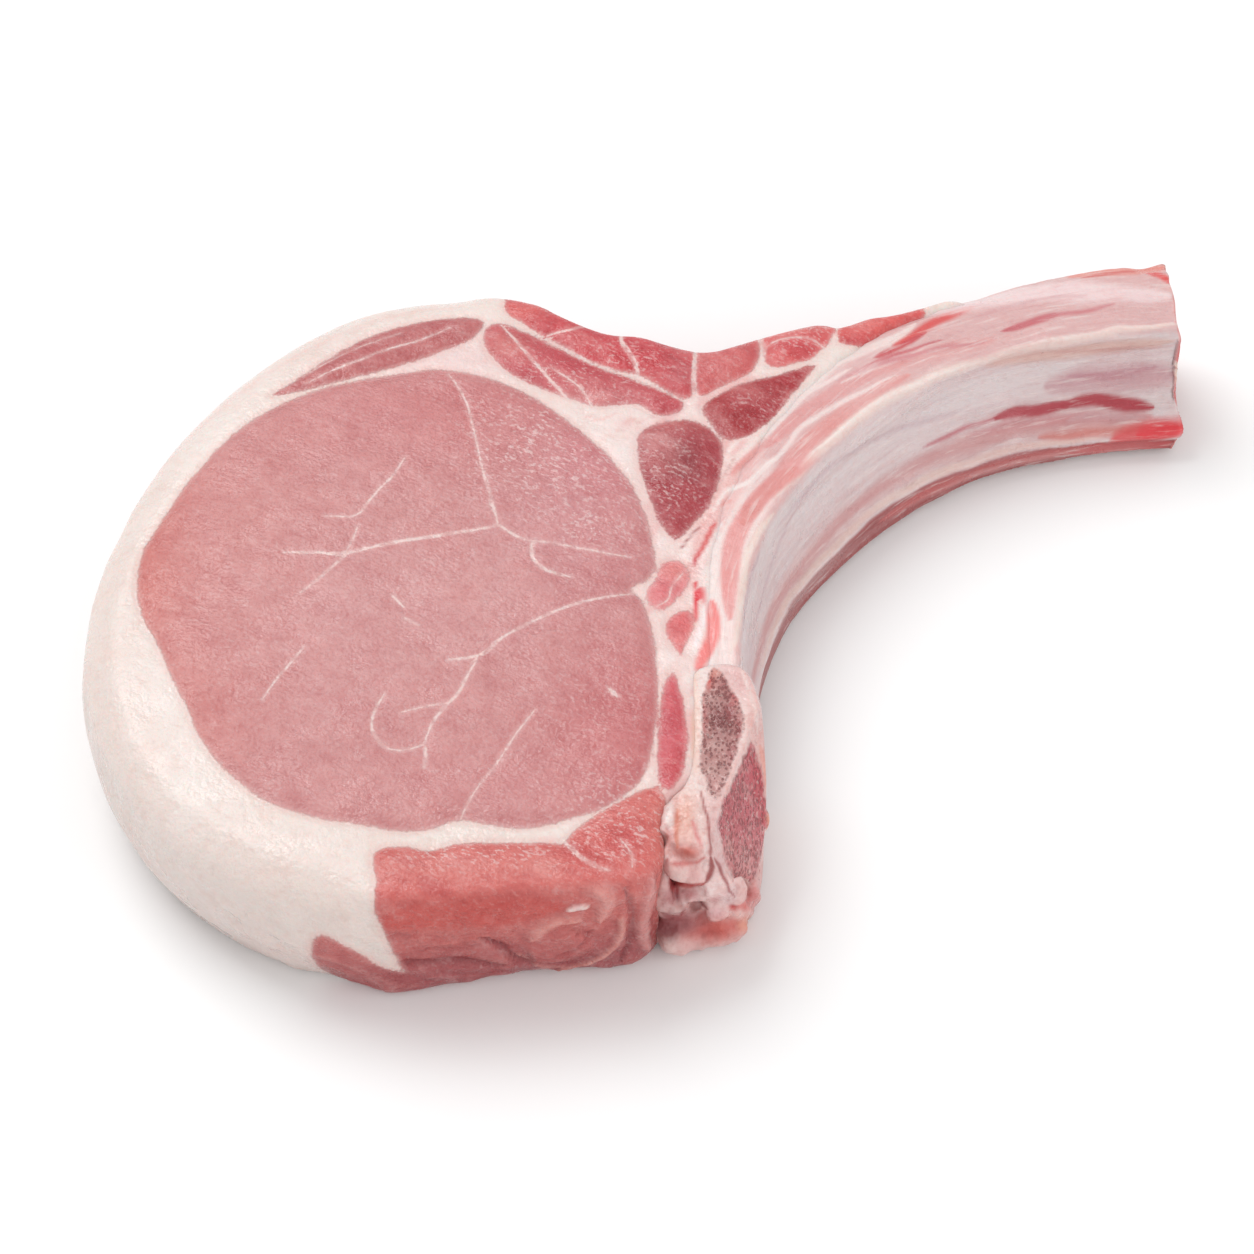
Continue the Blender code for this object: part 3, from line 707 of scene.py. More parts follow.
WEB_PINK, WEB_WHITE = tone(236, 190, 188), tone(250, 236, 233)
fat = painted(points, tone(238, 223, 216), [
    # Painted shade: the first spot darkens the fat low down on the near side.
    ((-60, -60, 4), (40, 14, 9), tone(230, 212, 206), 0.8),
    ((0, 25, 25), (26, 40, 30), tone(244, 224, 221), 0.7),
    ((-33, 43, 25), (16, 6, 30), tone(238, 210, 208), 0.8),
    ((4, -20, 25), (8, 40, 30), tone(242, 216, 212), 0.8),
    ((10, 0, 25), (5, 26, 30), tone(242, 206, 202), 0.6),
    ((-70, -12, 25), (6, 40, 30), tone(248, 240, 235), 0.6),
])
creases = noise(sheet @ np.array([[0.8, 0.6], [-0.6, 0.8]]) * (1.0, 0.35), 2.2, 43)
inner_fat = step(points[:, 0], -24, -8) * upper
fat = lay(fat, 0.8 * inner_fat * step(creases, 0.2, 0.8), WEB_PINK)
fat = lay(fat, 0.5 * inner_fat * step(-creases, 0.3, 0.8), WEB_WHITE)
seam = stroke(sheet, 0.5, [(-87, 4), (-81, 17), (-72, 30.5), (-62, 41), (-50, 49.6), (-38, 54), (-28, 55)], 2.0)
fat = lay(fat, 0.5 * seam * upper, tone(240, 208, 202))
# Painted shade: the fat of the sides is darker near the floor.
fat = lay(fat, 0.30 * low * sideways, tone(222, 202, 197))
for strength, half, soft, tint, line in TOP_STROKES:
    fat = lay(fat, strength * stroke(sheet, half, line, soft) * upper, tint)
# Where the lean glints wet. There its pale flecks become painted highlights, and its surface is less rough.
glint = painted(sheet, (0, 0, 0), [
    ((-17, 21), (15, 13), 1.0, 1.0), ((-10, 4), (9, 9), 1.0, 0.6), ((-10, -32), (14, 18), 1.0, 0.35),
    ((-64, -14), (14, 20), 1.0, 0.25), ((-26, -59), (16, 4), 1.0, 0.9), ((-5, -53), (8, 8), 1.0, 0.8), ((17, 31), (6, 4), 1.0, 0.5),
    ((3, 14), (7, 12), 1.0, 0.6), ((-8, 40), (20, 8), 1.0, 0.6), ((26, 46), (10, 6), 1.0, 0.6),
    ((-2, -54), (8, 6), 1.0, 0.6),
])[:, 0]
store(flesh, "lean", lean)
store(flesh, "to_thread", to_thread)
store(flesh, "thread_gap", thread_gap)
store(flesh, "meat_colour", meat)
store(flesh, "fat_colour", fat)
store(flesh, "glint", glint)
store(flesh, "streaks", 0.3 + 0.7 * small)
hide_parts("loin_meat", "fat_cap")
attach(flesh, "root")

# %% [markdown]
# ## The rib
# The rib is a flat, curved bar. Its broad hollow face looked into the chest and is still covered
# by a pale, shiny membrane; a strip of flesh lies along its outer side. The section is drawn once
# and carried along the path, and every point remembers where it sits along and around the bone.

# %% The rib body
RIB_SECTION = [
    (-0.84, 0.0), (-0.97, 0.08), (-1.0, 0.3), (-1.0, 0.7), (-1.0, 0.9), (-0.97, 0.955), (-0.85, 0.985),
    (-0.6, 1.0), (0.0, 1.0), (0.2, 0.995), (0.30, 0.975), (0.38, 0.9), (0.43, 0.78), (0.48, 0.62),
    (0.57, 0.43), (0.69, 0.30), (0.81, 0.24), (0.86, 0.21), (0.95, 0.1), (1.0, 0.03), (0.9, 0.0),
]
BARE_SECTION = [
    (-0.84, 0.0), (-0.97, 0.08), (-1.0, 0.3), (-1.0, 0.5), (-0.99, 0.7), (-0.97, 0.82), (-0.88, 0.93),
    (-0.66, 0.985), (-0.3, 1.0), (0.2, 1.0), (0.42, 0.985), (0.475, 0.95), (0.495, 0.84), (0.52, 0.65),
    (0.61, 0.44), (0.75, 0.30), (0.91, 0.225), (0.965, 0.19), (1.0, 0.11), (1.0, 0.04), (0.9, 0.0),
]
ROOT_CREST, BARE_CREST = np.array((0.30, 0.975)), np.array((0.42, 0.985))
bm = bmesh.new()
rings = []
for (x, y, half), side, length in zip(path, crosswise, path_length):
    bare = step(length, 66, 84)
    section = (1 - bare) * np.array(RIB_SECTION) + bare * np.array(BARE_SECTION)
    rings.append([(x + side[0] * u * half, y + side[1] * u * half, RIB_LIFT + v * RIB_HEIGHT) for u, v in section])
loft(bm, rings)
rib = new_piece("rib", bm)
remesh(rib, 0.40)

# %% [markdown]
# ## Relief of the rib
# The place round the bone is measured in millimetres from the crest, the pale line where the top
# turns down into the hollow face: negative across the top, positive down the face. Long shallow
# grooves and ridges then run the length of the bone, and a lip rolls over the dark underside.

# %% Carve the rib
points, normals = points_of(rib)
rib_along, rib_across, rib_half = on_the_rib(points)
rib_up = (points[:, 2] - RIB_LIFT) / RIB_HEIGHT
crest = ROOT_CREST + step(rib_along, 66, 84)[:, None] * (BARE_CREST - ROOT_CREST)
over_top = (rib_across - crest[:, 0]) * rib_half
down_outside = np.clip(0.95 - rib_up, 0, 1) * RIB_HEIGHT * (rib_across < -0.6)
round_rib = np.where(rib_across < crest[:, 0], over_top - down_outside, (crest[:, 1] - rib_up) * RIB_HEIGHT)
rolled = np.column_stack([rib_along, round_rib])
inner_face = step(rib_across, 0.35, 0.5) * step(rib_up, 0.1, 0.2)


def hump(centre, width):
    """A smooth bump round the bone at a given distance from the crest."""
    return np.exp(-(((round_rib - centre) / width) ** 2))


end_normal = np.array([-crosswise[-1][1], crosswise[-1][0]])
on_end = step(np.abs(normals[:, :2] @ end_normal), 0.8, 0.95) * step(rib_along, path_length[-1] - 2, path_length[-1] - 1)
free = step(rib_along, 58, 78)
streaky = noise(rolled * (0.09, 1.0), 2.2, 11)
swell = 0.16 * streaky + 0.10 * noise(rolled * (0.12, 1.0), 0.9, 12) + 0.08 * noise(points, 2.4, 13)
swell += free * (0.35 * noise(points, 15, 14) + 0.25 * noise(points, 6, 16))
swell += 0.35 * hump(-0.2, 1.3) * (0.7 + 0.5 * noise(rolled, 3.0, 15))
swell -= 0.8 * hump(7.0, 4.5) * inner_face * step(rib_along, 12, 40)
swell += 0.3 * hump(18.8, 1.0) * inner_face
swell -= 0.35 * hump(13.9, 1.1) * inner_face * step(rib_along, 86, 100)
swell += 0.25 * hump(16.4, 1.2) * inner_face * step(rib_along, 60, 90)
swell -= 0.3 * step(round_rib, 20.0, 20.8)
swell += 0.6 * step(rib_along, 106, 120) * step(-round_rib, 9, 14) * (0.6 + 0.6 * noise(points, 4, 17))
swell *= 1 - 0.75 * (1 - free) * step(-round_rib, 2.5, 5)
swell += 0.7 * hump(19.0, 2.6) * inner_face * step(rib_along, 108, 120)
points += (swell * (1 - 0.9 * on_end))[:, None] * normals
tip = step(rib_along, 114, path_length[-1])
onward = (path[-1, :2] - path[-2, :2]) / np.hypot(*(path[-1, :2] - path[-2, :2]))
lean_out = 0.9 * step(-rib_up, -0.45, -0.1) - 0.9 * step(rib_up, 0.85, 1.0) * step(rib_across, -0.2, 0.4)
corner = step(rib_across, 0.6, 1.0) * step(-rib_up, -0.25, 0.0)
points[:, :2] += (tip * (lean_out - 1.6 * corner))[:, None] * onward
points[:, 2] = np.maximum(points[:, 2], 0.1)
move_points(rib, points)

# %% [markdown]
# ## Colours of the rib
# Long strokes are laid along the bone as a brush would lay them: salmon flesh beside the web, the
# cream crest with thin painted highlights along it, lavender membrane in the hollow, red where it
# is thin, a painted highlight along the lip, and a dark band underneath, which is red flesh with
# painted shade laid over it.

# %% Paint the rib
FLESH_LINE, RIB_RED, BLOOD = tone(246, 226, 222), tone(216, 84, 86), tone(184, 58, 70)
# Strength, half width, softness, tint, then the line as millimetres along and round the bone.
RIB_STROKES = [
    (0.85, 3.0, 3.0, tone(229, 214, 214), [(8, 4), (30, 4.4), (60, 6), (85, 7), (108, 5.6)]),
    (0.85, 1.5, 2.6, tone(211, 152, 151), [(10, 17.0), (30, 16.6), (39, 16.2), (57, 15.8), (90, 16.2), (120, 16.8)]),
    (0.60, 0.6, 1.6, tone(204, 176, 182), [(34, 3.4), (45, 4), (53, 3.8), (61, 5.2), (69, 7.1), (80, 9.6), (92, 11)]),
    (0.65, 0.7, 1.4, tone(204, 176, 182), [(8, 3), (15, 1.2), (20, 0.9), (27, 1.0)]),
    (0.60, 0.5, 1.3, tone(205, 172, 178), [(16, 13.2), (20, 12.8), (26, 11.3), (35, 8.7), (42, 5.4), (48, 4)]),
    (0.60, 0.8, 1.4, tone(230, 216, 215), [(20, 7), (28, 4.4), (34, 2.6), (42, 2.2), (50, 2.8)]),
    (0.45, 0.6, 1.2, tone(212, 168, 168), [(30, 14.4), (36, 14.2), (44, 13.7), (56, 12.4), (70, 12.4)]),
    (0.80, 1.6, 2.0, tone(222, 180, 168), [(88, 1.3), (100, 2.4), (110, 3.0), (123, 3.2)]),
    (0.50, 0.4, 0.8, tone(203, 148, 144), [(101, 2.0), (112, 3.6), (123, 4.6)]),
    (0.80, 2.2, 3.6, tone(203, 152, 158), [(100, 9.6), (108, 9.6), (116, 10.2), (125, 10.2)]),
    (0.50, 0.7, 0.9, tone(190, 124, 136), [(104, 8.2), (112, 9.6), (121, 8.8)]),
    (0.85, 0.45, 0.9, tone(198, 104, 114), [(74, 13.4), (80, 13.5), (86, 13.4), (92, 13.2), (96, 13.2)]),
    (1.00, 1.0, 0.8, tone(184, 56, 70), [(90, 13.4), (99, 13.6), (106, 13.6)]),
    (1.00, 1.2, 1.1, tone(180, 44, 60), [(103, 13.8), (108, 13.6), (112, 13.9), (116, 14.8), (120.5, 15.6)]),
    (0.60, 0.8, 1.6, tone(204, 124, 128), [(84, 14.8), (96, 15.2), (108, 16.0), (120, 17.2)]),
    (0.45, 0.5, 0.8, tone(208, 176, 178), [(104, 16.0), (112, 16.3), (119, 17.2)]),
    (0.85, 0.7, 1.4, tone(216, 122, 112), [(98, 17.7), (110, 18.2), (118, 18.3), (125, 18.6)]),
    (0.90, 1.5, 1.8, tone(222, 74, 78), [(112, 19.6), (118, 19.2), (124, 19.0)]),
    (0.85, 1.1, 2.2, tone(228, 40, 54), [(117, 19.2), (122, 18.8), (127, 18.6)]),
    # A painted highlight: the pale line along the top of the lip.
    (0.90, 0.5, 0.7, tone(232, 200, 191), [(16, 18.2), (31, 18.1), (48, 17.9), (66, 18.0), (80, 18.3), (100, 18.6), (110, 19.0)]),
    # Painted shade: the dark band on the underside below the lip is red flesh, painted darker for the shade it lies in.
    (1.00, 3.2, 0.5, tone(164, 82, 82), [(-4, 22.1), (40, 22.0), (70, 22.1), (100, 22.4), (134, 22.8)]),
    (0.70, 1.0, 1.0, tone(206, 108, 106), [(60, 20.4), (84, 20.6), (104, 20.9), (118, 21.0)]),
    (0.85, 1.6, 1.2, tone(196, 76, 78), [(104, 21.6), (114, 21.8), (124, 22.0)]),
    (0.90, 1.5, 1.2, tone(224, 148, 146), [(46, -8.0), (54, -7.6), (60, -6.9), (68, -5.8), (76, -4.6)]),
    (0.90, 1.5, 1.2, tone(229, 158, 154), [(36, -3.2), (46, -3.0), (57, -2.6), (64, -2.2), (74, -1.8)]),
    (0.60, 1.6, 2.0, tone(226, 160, 158), [(62, -5.4), (76, -4.2), (92, -3.2)]),
    (0.85, 0.45, 0.6, FLESH_LINE, [(40, -6.2), (44, -5.6), (48, -5.3), (52, -5.7), (56, -5.2), (60, -4.6), (66, -3.3), (72, -2.8)]),
    (0.85, 0.6, 0.6, FLESH_LINE, [(45, -9.6), (51, -9.8), (56, -10), (60, -10.3), (64, -9.2), (68, -8.5)]),
    (0.70, 0.35, 0.5, FLESH_LINE, [(64, -7.4), (70, -6.2), (76, -5.4), (84, -3.9)]),
    (0.85, 1.2, 1.2, tone(246, 228, 223), [(56, -12), (62, -11.4), (67, -11.6), (72, -10.6), (77, -10.2), (82, -11.8)]),
    (0.65, 0.5, 0.7, tone(208, 128, 134), [(67, -6.8), (72, -6.3), (76, -5.4), (83, -4.4), (90, -3.2)]),
    (0.95, 0.9, 1.2, tone(222, 84, 82), [(76, -8.8), (80, -9.4), (84, -10.5), (88, -11.4), (92, -12.2), (95, -12.8)]),
    (0.90, 0.6, 0.6, tone(204, 74, 82), [(72, -8.0), (77, -8.2), (82, -8.9)]),
    (0.80, 0.4, 0.5, tone(206, 92, 102), [(69, -7.3), (74, -7.1), (79, -6.5), (84, -6.2)]),
    (0.60, 0.5, 0.7, tone(214, 132, 138), [(64, -8.2), (72, -6.6), (80, -4.8)]),
    (0.90, 0.8, 0.8, tone(202, 92, 102), [(93.5, -4.4), (97, -4.7), (100, -5.0), (104, -5.3)]),
    (0.75, 0.5, 0.9, tone(208, 112, 120), [(100, -5.0), (106, -5.3), (114, -5.6)]),
    (0.85, 2.4, 2.6, tone(246, 222, 222), [(80, -15), (100, -12), (112, -9), (124, -7)]),
    (0.50, 0.5, 0.7, tone(218, 168, 170), [(90, -9), (100, -9.6), (110, -8.6)]),
    (0.90, 1.6, 1.4, tone(234, 138, 124), [(108, -14.2), (117, -14.6), (126, -15)]),
    (0.75, 0.5, 0.6, tone(216, 92, 86), [(110, -12.8), (115, -13.6), (119.5, -14.6)]),
    (0.90, 0.7, 0.7, tone(228, 78, 76), [(120.6, -13.4), (123.2, -12), (124.6, -10)]),
    (0.85, 0.8, 1.0, tone(240, 219, 211), [(37, -0.8), (46, -0.6), (60, -0.4), (75, 0.3), (95, 0.2), (125, -0.5)]),
    # Painted highlights: the two thin near-white lines along the crest.
    (0.60, 0.3, 0.4, tone(250, 238, 232), [(46, -1.2), (58, -0.6), (66, -0.4), (81, 0.3), (92, 0.3)]),
    (0.55, 0.25, 0.4, tone(250, 238, 232), [(96, -0.4), (110, -0.5), (124, -0.8)]),
]
rib_colour = np.tile(tone(226, 184, 182), (len(points), 1))
rib_colour = lay(rib_colour, step(round_rib, -0.6, 1.4), tone(226, 206, 206))
rib_colour = lay(rib_colour, (1 - step(rib_along, 34, 46)) * step(-round_rib, 0.2, 1.4), tone(244, 222, 218))
for strength, half, soft, tint, line in RIB_STROKES:
    wavy = rolled + np.column_stack([np.zeros(len(rolled)), 0.35 * noise(rolled, 5, 51)])
    rib_colour = lay(rib_colour, strength * stroke(wavy, half, line, soft), tint)
rib_sheet = points[:, :2] - RECENTRE
on_top = step(normals[:, 2], 0.3, 0.7) * (1 - step(rib_along, 44, 52))
for strength, half, soft, tint, line in TOP_STROKES:
    rib_colour = lay(rib_colour, strength * stroke(rib_sheet, half, line, soft) * on_top, tint)
rib_colour = lay(rib_colour, 0.2 * step(streaky, 0.15, 0.8), tone(242, 226, 224))
rib_colour = lay(rib_colour, 0.16 * step(-streaky, 0.15, 0.8), tone(208, 156, 158))
outside = step(-round_rib, 17, 20) * (rib_across < -0.6)
patchy = noise(rolled * (0.3, 1.0), 3.0, 52) + 0.5 * noise(rolled, 2.0, 53)
rib_colour = lay(rib_colour, 0.7 * outside * step(patchy, 0.0, 0.8), tone(206, 104, 102))
rib_colour = lay(rib_colour, step(-normals[:, 2], 0.5, 0.8), tone(216, 168, 164))

END_CENTRE, END_REACH = np.array((-0.08, 0.5)), np.array((0.62, 0.34))
end_radius = np.hypot(*((np.column_stack([rib_across, rib_up]) - END_CENTRE) / END_REACH).T)
end_radius += 0.08 * noise(points, 4, 54)
sawn = on_end * step(-end_radius, -1.02, -0.98)
rib_colour = lay(rib_colour, on_end, tone(214, 96, 96))
rib_colour = lay(rib_colour, on_end * step(end_radius, 1.25, 1.4), tone(226, 150, 146))
rib_colour = lay(rib_colour, sawn, tone(240, 216, 202))
marrow = (0.85 - end_radius) * 6 * on_end - 3 * (1 - on_end)
store(rib, "bone_colour", rib_colour)
store(rib, "along", rib_along)
store(rib, "round", round_rib)
store(rib, "marrow", marrow)
store(rib, "side", 1 - on_end)
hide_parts("rib_bone")
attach(rib, "root")

# %% [markdown]
# ## The backbone
# The saw went through the vertebra twice, so two porous faces show: an upright oval on the top
# and a red one slanting down beside it. In front of them hang lumps of gristle and torn fat. The
# block is drawn as rings, sawn with bisect_plane, and the lumps are small spheres stretched and
# sunk into it before the remesh melts them together.

# %% The backbone body
SAW_CUT = ((14.6, -36.5, 25.0), (10.2, -50.0, 25.0), (17.3, -46.0, 14.0))
# Centre, then half sizes, in millimetres.
LUMPS = [
    ((2.4, -52.2, 22.6), (1.5, 3.6, 2.8)), ((4.8, -53.4, 21.4), (2.6, 5.0, 4.2)), ((1.8, -57.0, 20.2), (1.2, 2.4, 3.2)),
    ((7.4, -55.0, 21.2), (2.0, 4.4, 3.6)), ((6.4, -59.2, 19.6), (2.6, 2.1, 2.6)), ((4.4, -58.8, 20.6), (2.6, 2.0, 2.2)),
    ((5.6, -59.4, 14.8), (2.4, 1.7, 2.4)), ((9.2, -59.8, 16.0), (2.6, 1.9, 4.2)), ((8.0, -59.2, 18.4), (2.2, 1.8, 2.6)),
    ((9.2, -60.6, 10.8), (2.2, 1.7, 2.4)), ((11.8, -59.2, 13.8), (2.2, 1.8, 3.6)), ((12.0, -59.6, 9.4), (2.0, 1.7, 2.2)),
    ((9.2, -60.0, 4.2), (5.4, 3.1, 4.6)), ((12.4, -58.6, 7.0), (2.2, 2.7, 3.8)), ((4.0, -60.2, 4.2), (4.4, 3.0, 4.6)),
    ((16.9, -44.4, 13.0), (0.8, 1.6, 2.1)), ((14.8, -55.0, 9.2), (1.1, 2.8, 3.2)), ((13.2, -57.6, 4.0), (1.3, 2.6, 3.6)),
    ((3.2, -59.4, 10.4), (2.8, 2.1, 4.6)), ((1.4, -59.8, 14.0), (1.8, 2.0, 5.6)), ((5.8, -60.0, 8.6), (2.2, 1.5, 2.0)),
]
turn = np.roll(backbone_loop, -1, axis=0) - np.roll(backbone_loop, 1, axis=0)
facing = np.stack([-turn[:, 1], turn[:, 0]], 1) / np.hypot(*turn.T)[:, None]
recess = 2.2 * step(-backbone_loop[:, 1], 53, 58)
bm = bmesh.new()
rings = []
for inset, height, share in ((1.5, 0, 0), (0.4, 0.6, 0), (0, 2, 0), (0, 6, 0.6), (0, 12, 1), (0, 22, 1), (0, 24.5, 1), (0.5, 25.1, 1)):
    flat = backbone_loop - facing * (inset + share * recess)[:, None]
    rings.append(np.column_stack([flat, np.full(len(flat), height)]))
loft(bm, rings)
a, b, c = [Vector(corner) + Vector((*RECENTRE, 0)) for corner in SAW_CUT]
saw = (b - a).cross(c - a).normalized()
saw = saw if saw.z > 0 else -saw
everything = bm.verts[:] + bm.edges[:] + bm.faces[:]
cut = bmesh.ops.bisect_plane(bm, geom=everything, plane_co=a * MM, plane_no=saw, clear_outer=True)
edges = [item for item in cut["geom_cut"] if isinstance(item, bmesh.types.BMEdge)]
bmesh.ops.edgeloop_fill(bm, edges=edges)
for centre, size in LUMPS:
    ball = bmesh.ops.create_icosphere(bm, subdivisions=3, radius=MM)["verts"]
    bmesh.ops.scale(bm, vec=size, verts=ball)
    bmesh.ops.translate(bm, vec=(Vector(centre) + Vector((*RECENTRE, 0))) * MM, verts=ball)
backbone = new_piece("backbone", bm)
remesh(backbone, 0.30)

# %% [markdown]
# ## Relief and colour of the backbone
# The two sawn faces stay flat and get fine pits. All round them the tissue is torn and lumpy.

# %% Carve and paint the backbone
TOP_BONE = [
    (9.3, -2.5), (10.2, -2.8), (11.3, -4.1), (12.2, -5.6), (12.9, -7.1), (13.5, -8.9), (13.7, -10.4), (13.4, -12.4),
    (12.9, -14.3), (12.2, -16.1), (11.4, -17.9), (10.8, -19.7), (10.0, -21.4), (8.8, -21.8), (8, -20.4),
    (7.5, -18.8), (7.1, -17.3), (6.9, -15.4), (7.1, -13.1), (7.2, -10.9), (7.2, -8.6), (7.5, -6.8), (8, -5.3), (8.4, -3.8),
]
SLANT_BONE = [
    (14.7, -13.4), (15.5, -14.6), (16.1, -16.4), (16.6, -18.4), (17.0, -20.6), (17.3, -22.9), (17.4, -25.1),
    (17.3, -27.4), (17.1, -29.6), (16.6, -31.4), (16.0, -32.9), (15.3, -34.7), (14.4, -35.9), (13.2, -35.9),
    (12.2, -35.3), (11.3, -33.5), (10.7, -31.4), (10.2, -29.6), (9.9, -27.8), (9.3, -26), (9.8, -23.9),
    (10.2, -22.1), (11.1, -20.3), (12.2, -18.5), (13.1, -16.7), (13.8, -14.9),
]
SHEET_TILT = math.radians(50)
bm = bmesh.new()
bm.from_mesh(backbone.data)
torn_part = [vert for vert in bm.verts if vert.co.y < (RECENTRE[1] - 49) * MM]
for _ in range(8):
    bmesh.ops.smooth_vert(bm, verts=torn_part, factor=0.5, use_axis_x=True, use_axis_y=True, use_axis_z=True)
bm.to_mesh(backbone.data)
bm.free()
points, normals = points_of(backbone)
place = points - np.array((*RECENTRE, 0))
leaning = np.column_stack([place[:, 0], place[:, 1] * math.sin(SHEET_TILT) + place[:, 2] * math.cos(SHEET_TILT)])
top_bone = inside_by(leaning, smooth_line(TOP_BONE, True), 12)
slant_bone = inside_by(leaning, smooth_line(SLANT_BONE, True), 12)
off_saw = (points - np.array(a)) @ np.array(saw)
on_slant = step(-np.abs(off_saw), -0.9, -0.5)
on_top = step(points[:, 2], 23.2, 23.8)
top_bone = np.where(on_top > 0.5, top_bone, -6.0)
slant_bone = np.where(on_slant > 0.5, slant_bone, -6.0)
bone = np.maximum(top_bone, slant_bone)
ragged = (1 - step(bone, -1.5, 0)) * np.maximum(step(-place[:, 1], 46, 52), 0.12)
torn = 0.5 * noise(points, 3.6, 21) + 0.4 * noise(points * (1, 1, 0.6), 1.7, 22) + 0.25 * noise(points * (1, 1, 0.5), 0.9, 23)
lift = ragged * torn - 0.10 * np.clip(noise(points, 0.7, 24), 0, 1) * step(bone, 0, 0.6)
lift += 0.15 * noise(points, 6, 25) * on_slant
points += lift[:, None] * normals
tuck_under(points)
points[:, 2] = np.maximum(points[:, 2], 0.05)
move_points(backbone, points)

SCARLET, CREVICE_SHADE = tone(200, 84, 78), tone(140, 48, 54)
BACKBONE_SPOTS = [
    ((13, -4), (4, 4), tone(228, 178, 176), 0.7), ((16, -12), (2, 6), tone(226, 166, 160), 0.7),
    ((6.2, -10), (0.9, 10), tone(242, 202, 184), 0.6), ((4.7, -19.9), (3, 2.2), tone(243, 224, 219), 0.9),
    ((4.7, -24.4), (2.0, 3.6), tone(238, 188, 174), 0.95), ((6.6, -25), (1, 3), tone(236, 206, 200), 0.7),
    ((4.7, -29.4), (1.9, 1.2), tone(208, 112, 98), 0.85), ((9.2, -26.6), (1.4, 4.4), tone(230, 196, 194), 0.8),
    ((9.9, -31.6), (1, 2), tone(226, 186, 186), 0.7), ((6.4, -32.8), (2.0, 1.4), tone(230, 176, 172), 0.9),
    ((7.7, -32), (1.1, 2), tone(240, 212, 208), 0.7), ((5.4, -36.4), (1.7, 1.0), tone(194, 126, 128), 0.9),
    ((9.4, -36.0), (2.6, 3.0), tone(250, 224, 221), 0.95), ((9.2, -37.6), (1.1, 1.1), tone(202, 136, 136), 0.7),
    ((9.2, -40.1), (1.5, 0.9), tone(230, 190, 192), 0.9), ((11.4, -37.0), (1.4, 1.8), tone(228, 194, 194), 0.85),
    ((11.9, -39.2), (0.8, 0.7), tone(206, 76, 72), 0.9), ((13.6, -39.4), (1.4, 1.2), tone(214, 100, 94), 0.8),
    ((9.6, -43.0), (5.4, 2.4), tone(208, 98, 88), 1.0), ((12.9, -40.8), (0.9, 1.0), tone(238, 192, 186), 0.85),
    # Painted shade: the dark spot at (4.4, -41.6) and the two after it darken the pocket between the near lean and the
    # backbone.
    ((13.9, -42.8), (1.3, 1.3), tone(230, 158, 138), 0.85), ((4.4, -41.6), (3.2, 2.2), tone(160, 84, 86), 0.95),
    ((1.4, -42.6), (2.6, 2.4), tone(142, 72, 76), 0.9), ((2.6, -38), (1.6, 3.4), tone(166, 84, 88), 0.8),
    ((15.1, -37.6), (1.2, 2.2), tone(214, 128, 126), 0.9), ((15.8, -34.4), (1, 2), tone(222, 164, 162), 0.7),
    ((17.7, -25.6), (0.9, 1.6), tone(230, 146, 116), 0.95),
]
BACKBONE_STROKES = [
    (0.90, 0.6, 0.8, tone(244, 228, 224), [(2.2, -21.6), (2.3, -23.9), (2.2, -26)]),
    (0.85, 0.5, 0.6, tone(232, 178, 172), [(1.9, -25.6), (1.8, -28.4), (1.9, -30)]),
    (0.80, 0.35, 0.6, tone(226, 140, 116), [(3.6, -23), (3.3, -26), (3.2, -29)]),
    (0.80, 0.3, 0.5, tone(222, 136, 134), [(5.6, -24.6), (6.2, -26.8), (7.0, -28.6)]),
    (0.70, 0.35, 0.5, tone(240, 214, 209), [(6.9, -24), (7.4, -27), (7.6, -30.4)]),
    (0.80, 0.35, 0.9, SCARLET, [(2.2, -31.4), (4.4, -31.2), (6.0, -31.0), (7.6, -30.4)]),
    (0.90, 0.5, 0.8, tone(172, 56, 60), [(1.9, -30.4), (2.2, -32.6), (2.9, -34.7), (3.5, -36.6)]),
    (0.90, 0.4, 0.8, tone(140, 44, 50), [(3.2, -36.2), (4.0, -38.4), (4.3, -40.4)]),
    (0.95, 0.6, 0.6, tone(186, 74, 70), [(3.2, -34.8), (5.4, -34.9), (7.6, -34.6)]),
    # Painted shade in the crevice at the back of the pocket.
    (0.85, 0.3, 0.5, CREVICE_SHADE, [(5, -38.0), (6.8, -38.2), (8.0, -39.4)]),
    (0.85, 0.2, 0.4, tone(164, 78, 76), [(6.9, -20.4), (7.5, -22.9), (8.1, -25.1), (8.3, -28.1), (8.6, -30.8)]),
    (0.95, 0.42, 0.5, tone(158, 70, 68), [(8.5, -30.2), (8.6, -32), (8.3, -33.4), (7.6, -34.6)]),
    (0.85, 0.25, 0.4, tone(166, 82, 82), [(9, -30.3), (9.8, -31.7), (10.2, -33.2), (10.7, -34.4), (11.3, -36.3), (12.2, -37.6)]),
    (0.80, 0.3, 0.5, tone(238, 214, 208), [(12.9, -0.6), (14.1, -4.1), (15, -7.1), (15.6, -9.4), (15.9, -12.6)]),
    (0.75, 0.35, 0.5, tone(236, 196, 192), [(13.9, -13.6), (12.7, -16.1), (11.7, -18.1), (10.6, -20.4), (9.4, -23)]),
    (0.70, 0.4, 0.6, tone(236, 158, 142), [(16.2, -14), (17, -18), (17.5, -22)]),
]
tissue = painted(leaning, tone(232, 190, 186), [((8, -6), (14, 14), tone(244, 226, 221), 1.0)])
for centre, reach, tint, strength in BACKBONE_SPOTS:
    near_it = np.exp(-((((leaning - np.array(centre)) / np.array(reach)) ** 2).sum(1)) ** 1.5)
    tissue = lay(tissue, strength * near_it, tint)
for strength, half, soft, tint, line in BACKBONE_STROKES:
    tissue = lay(tissue, strength * stroke(leaning, half, line, soft), tint)
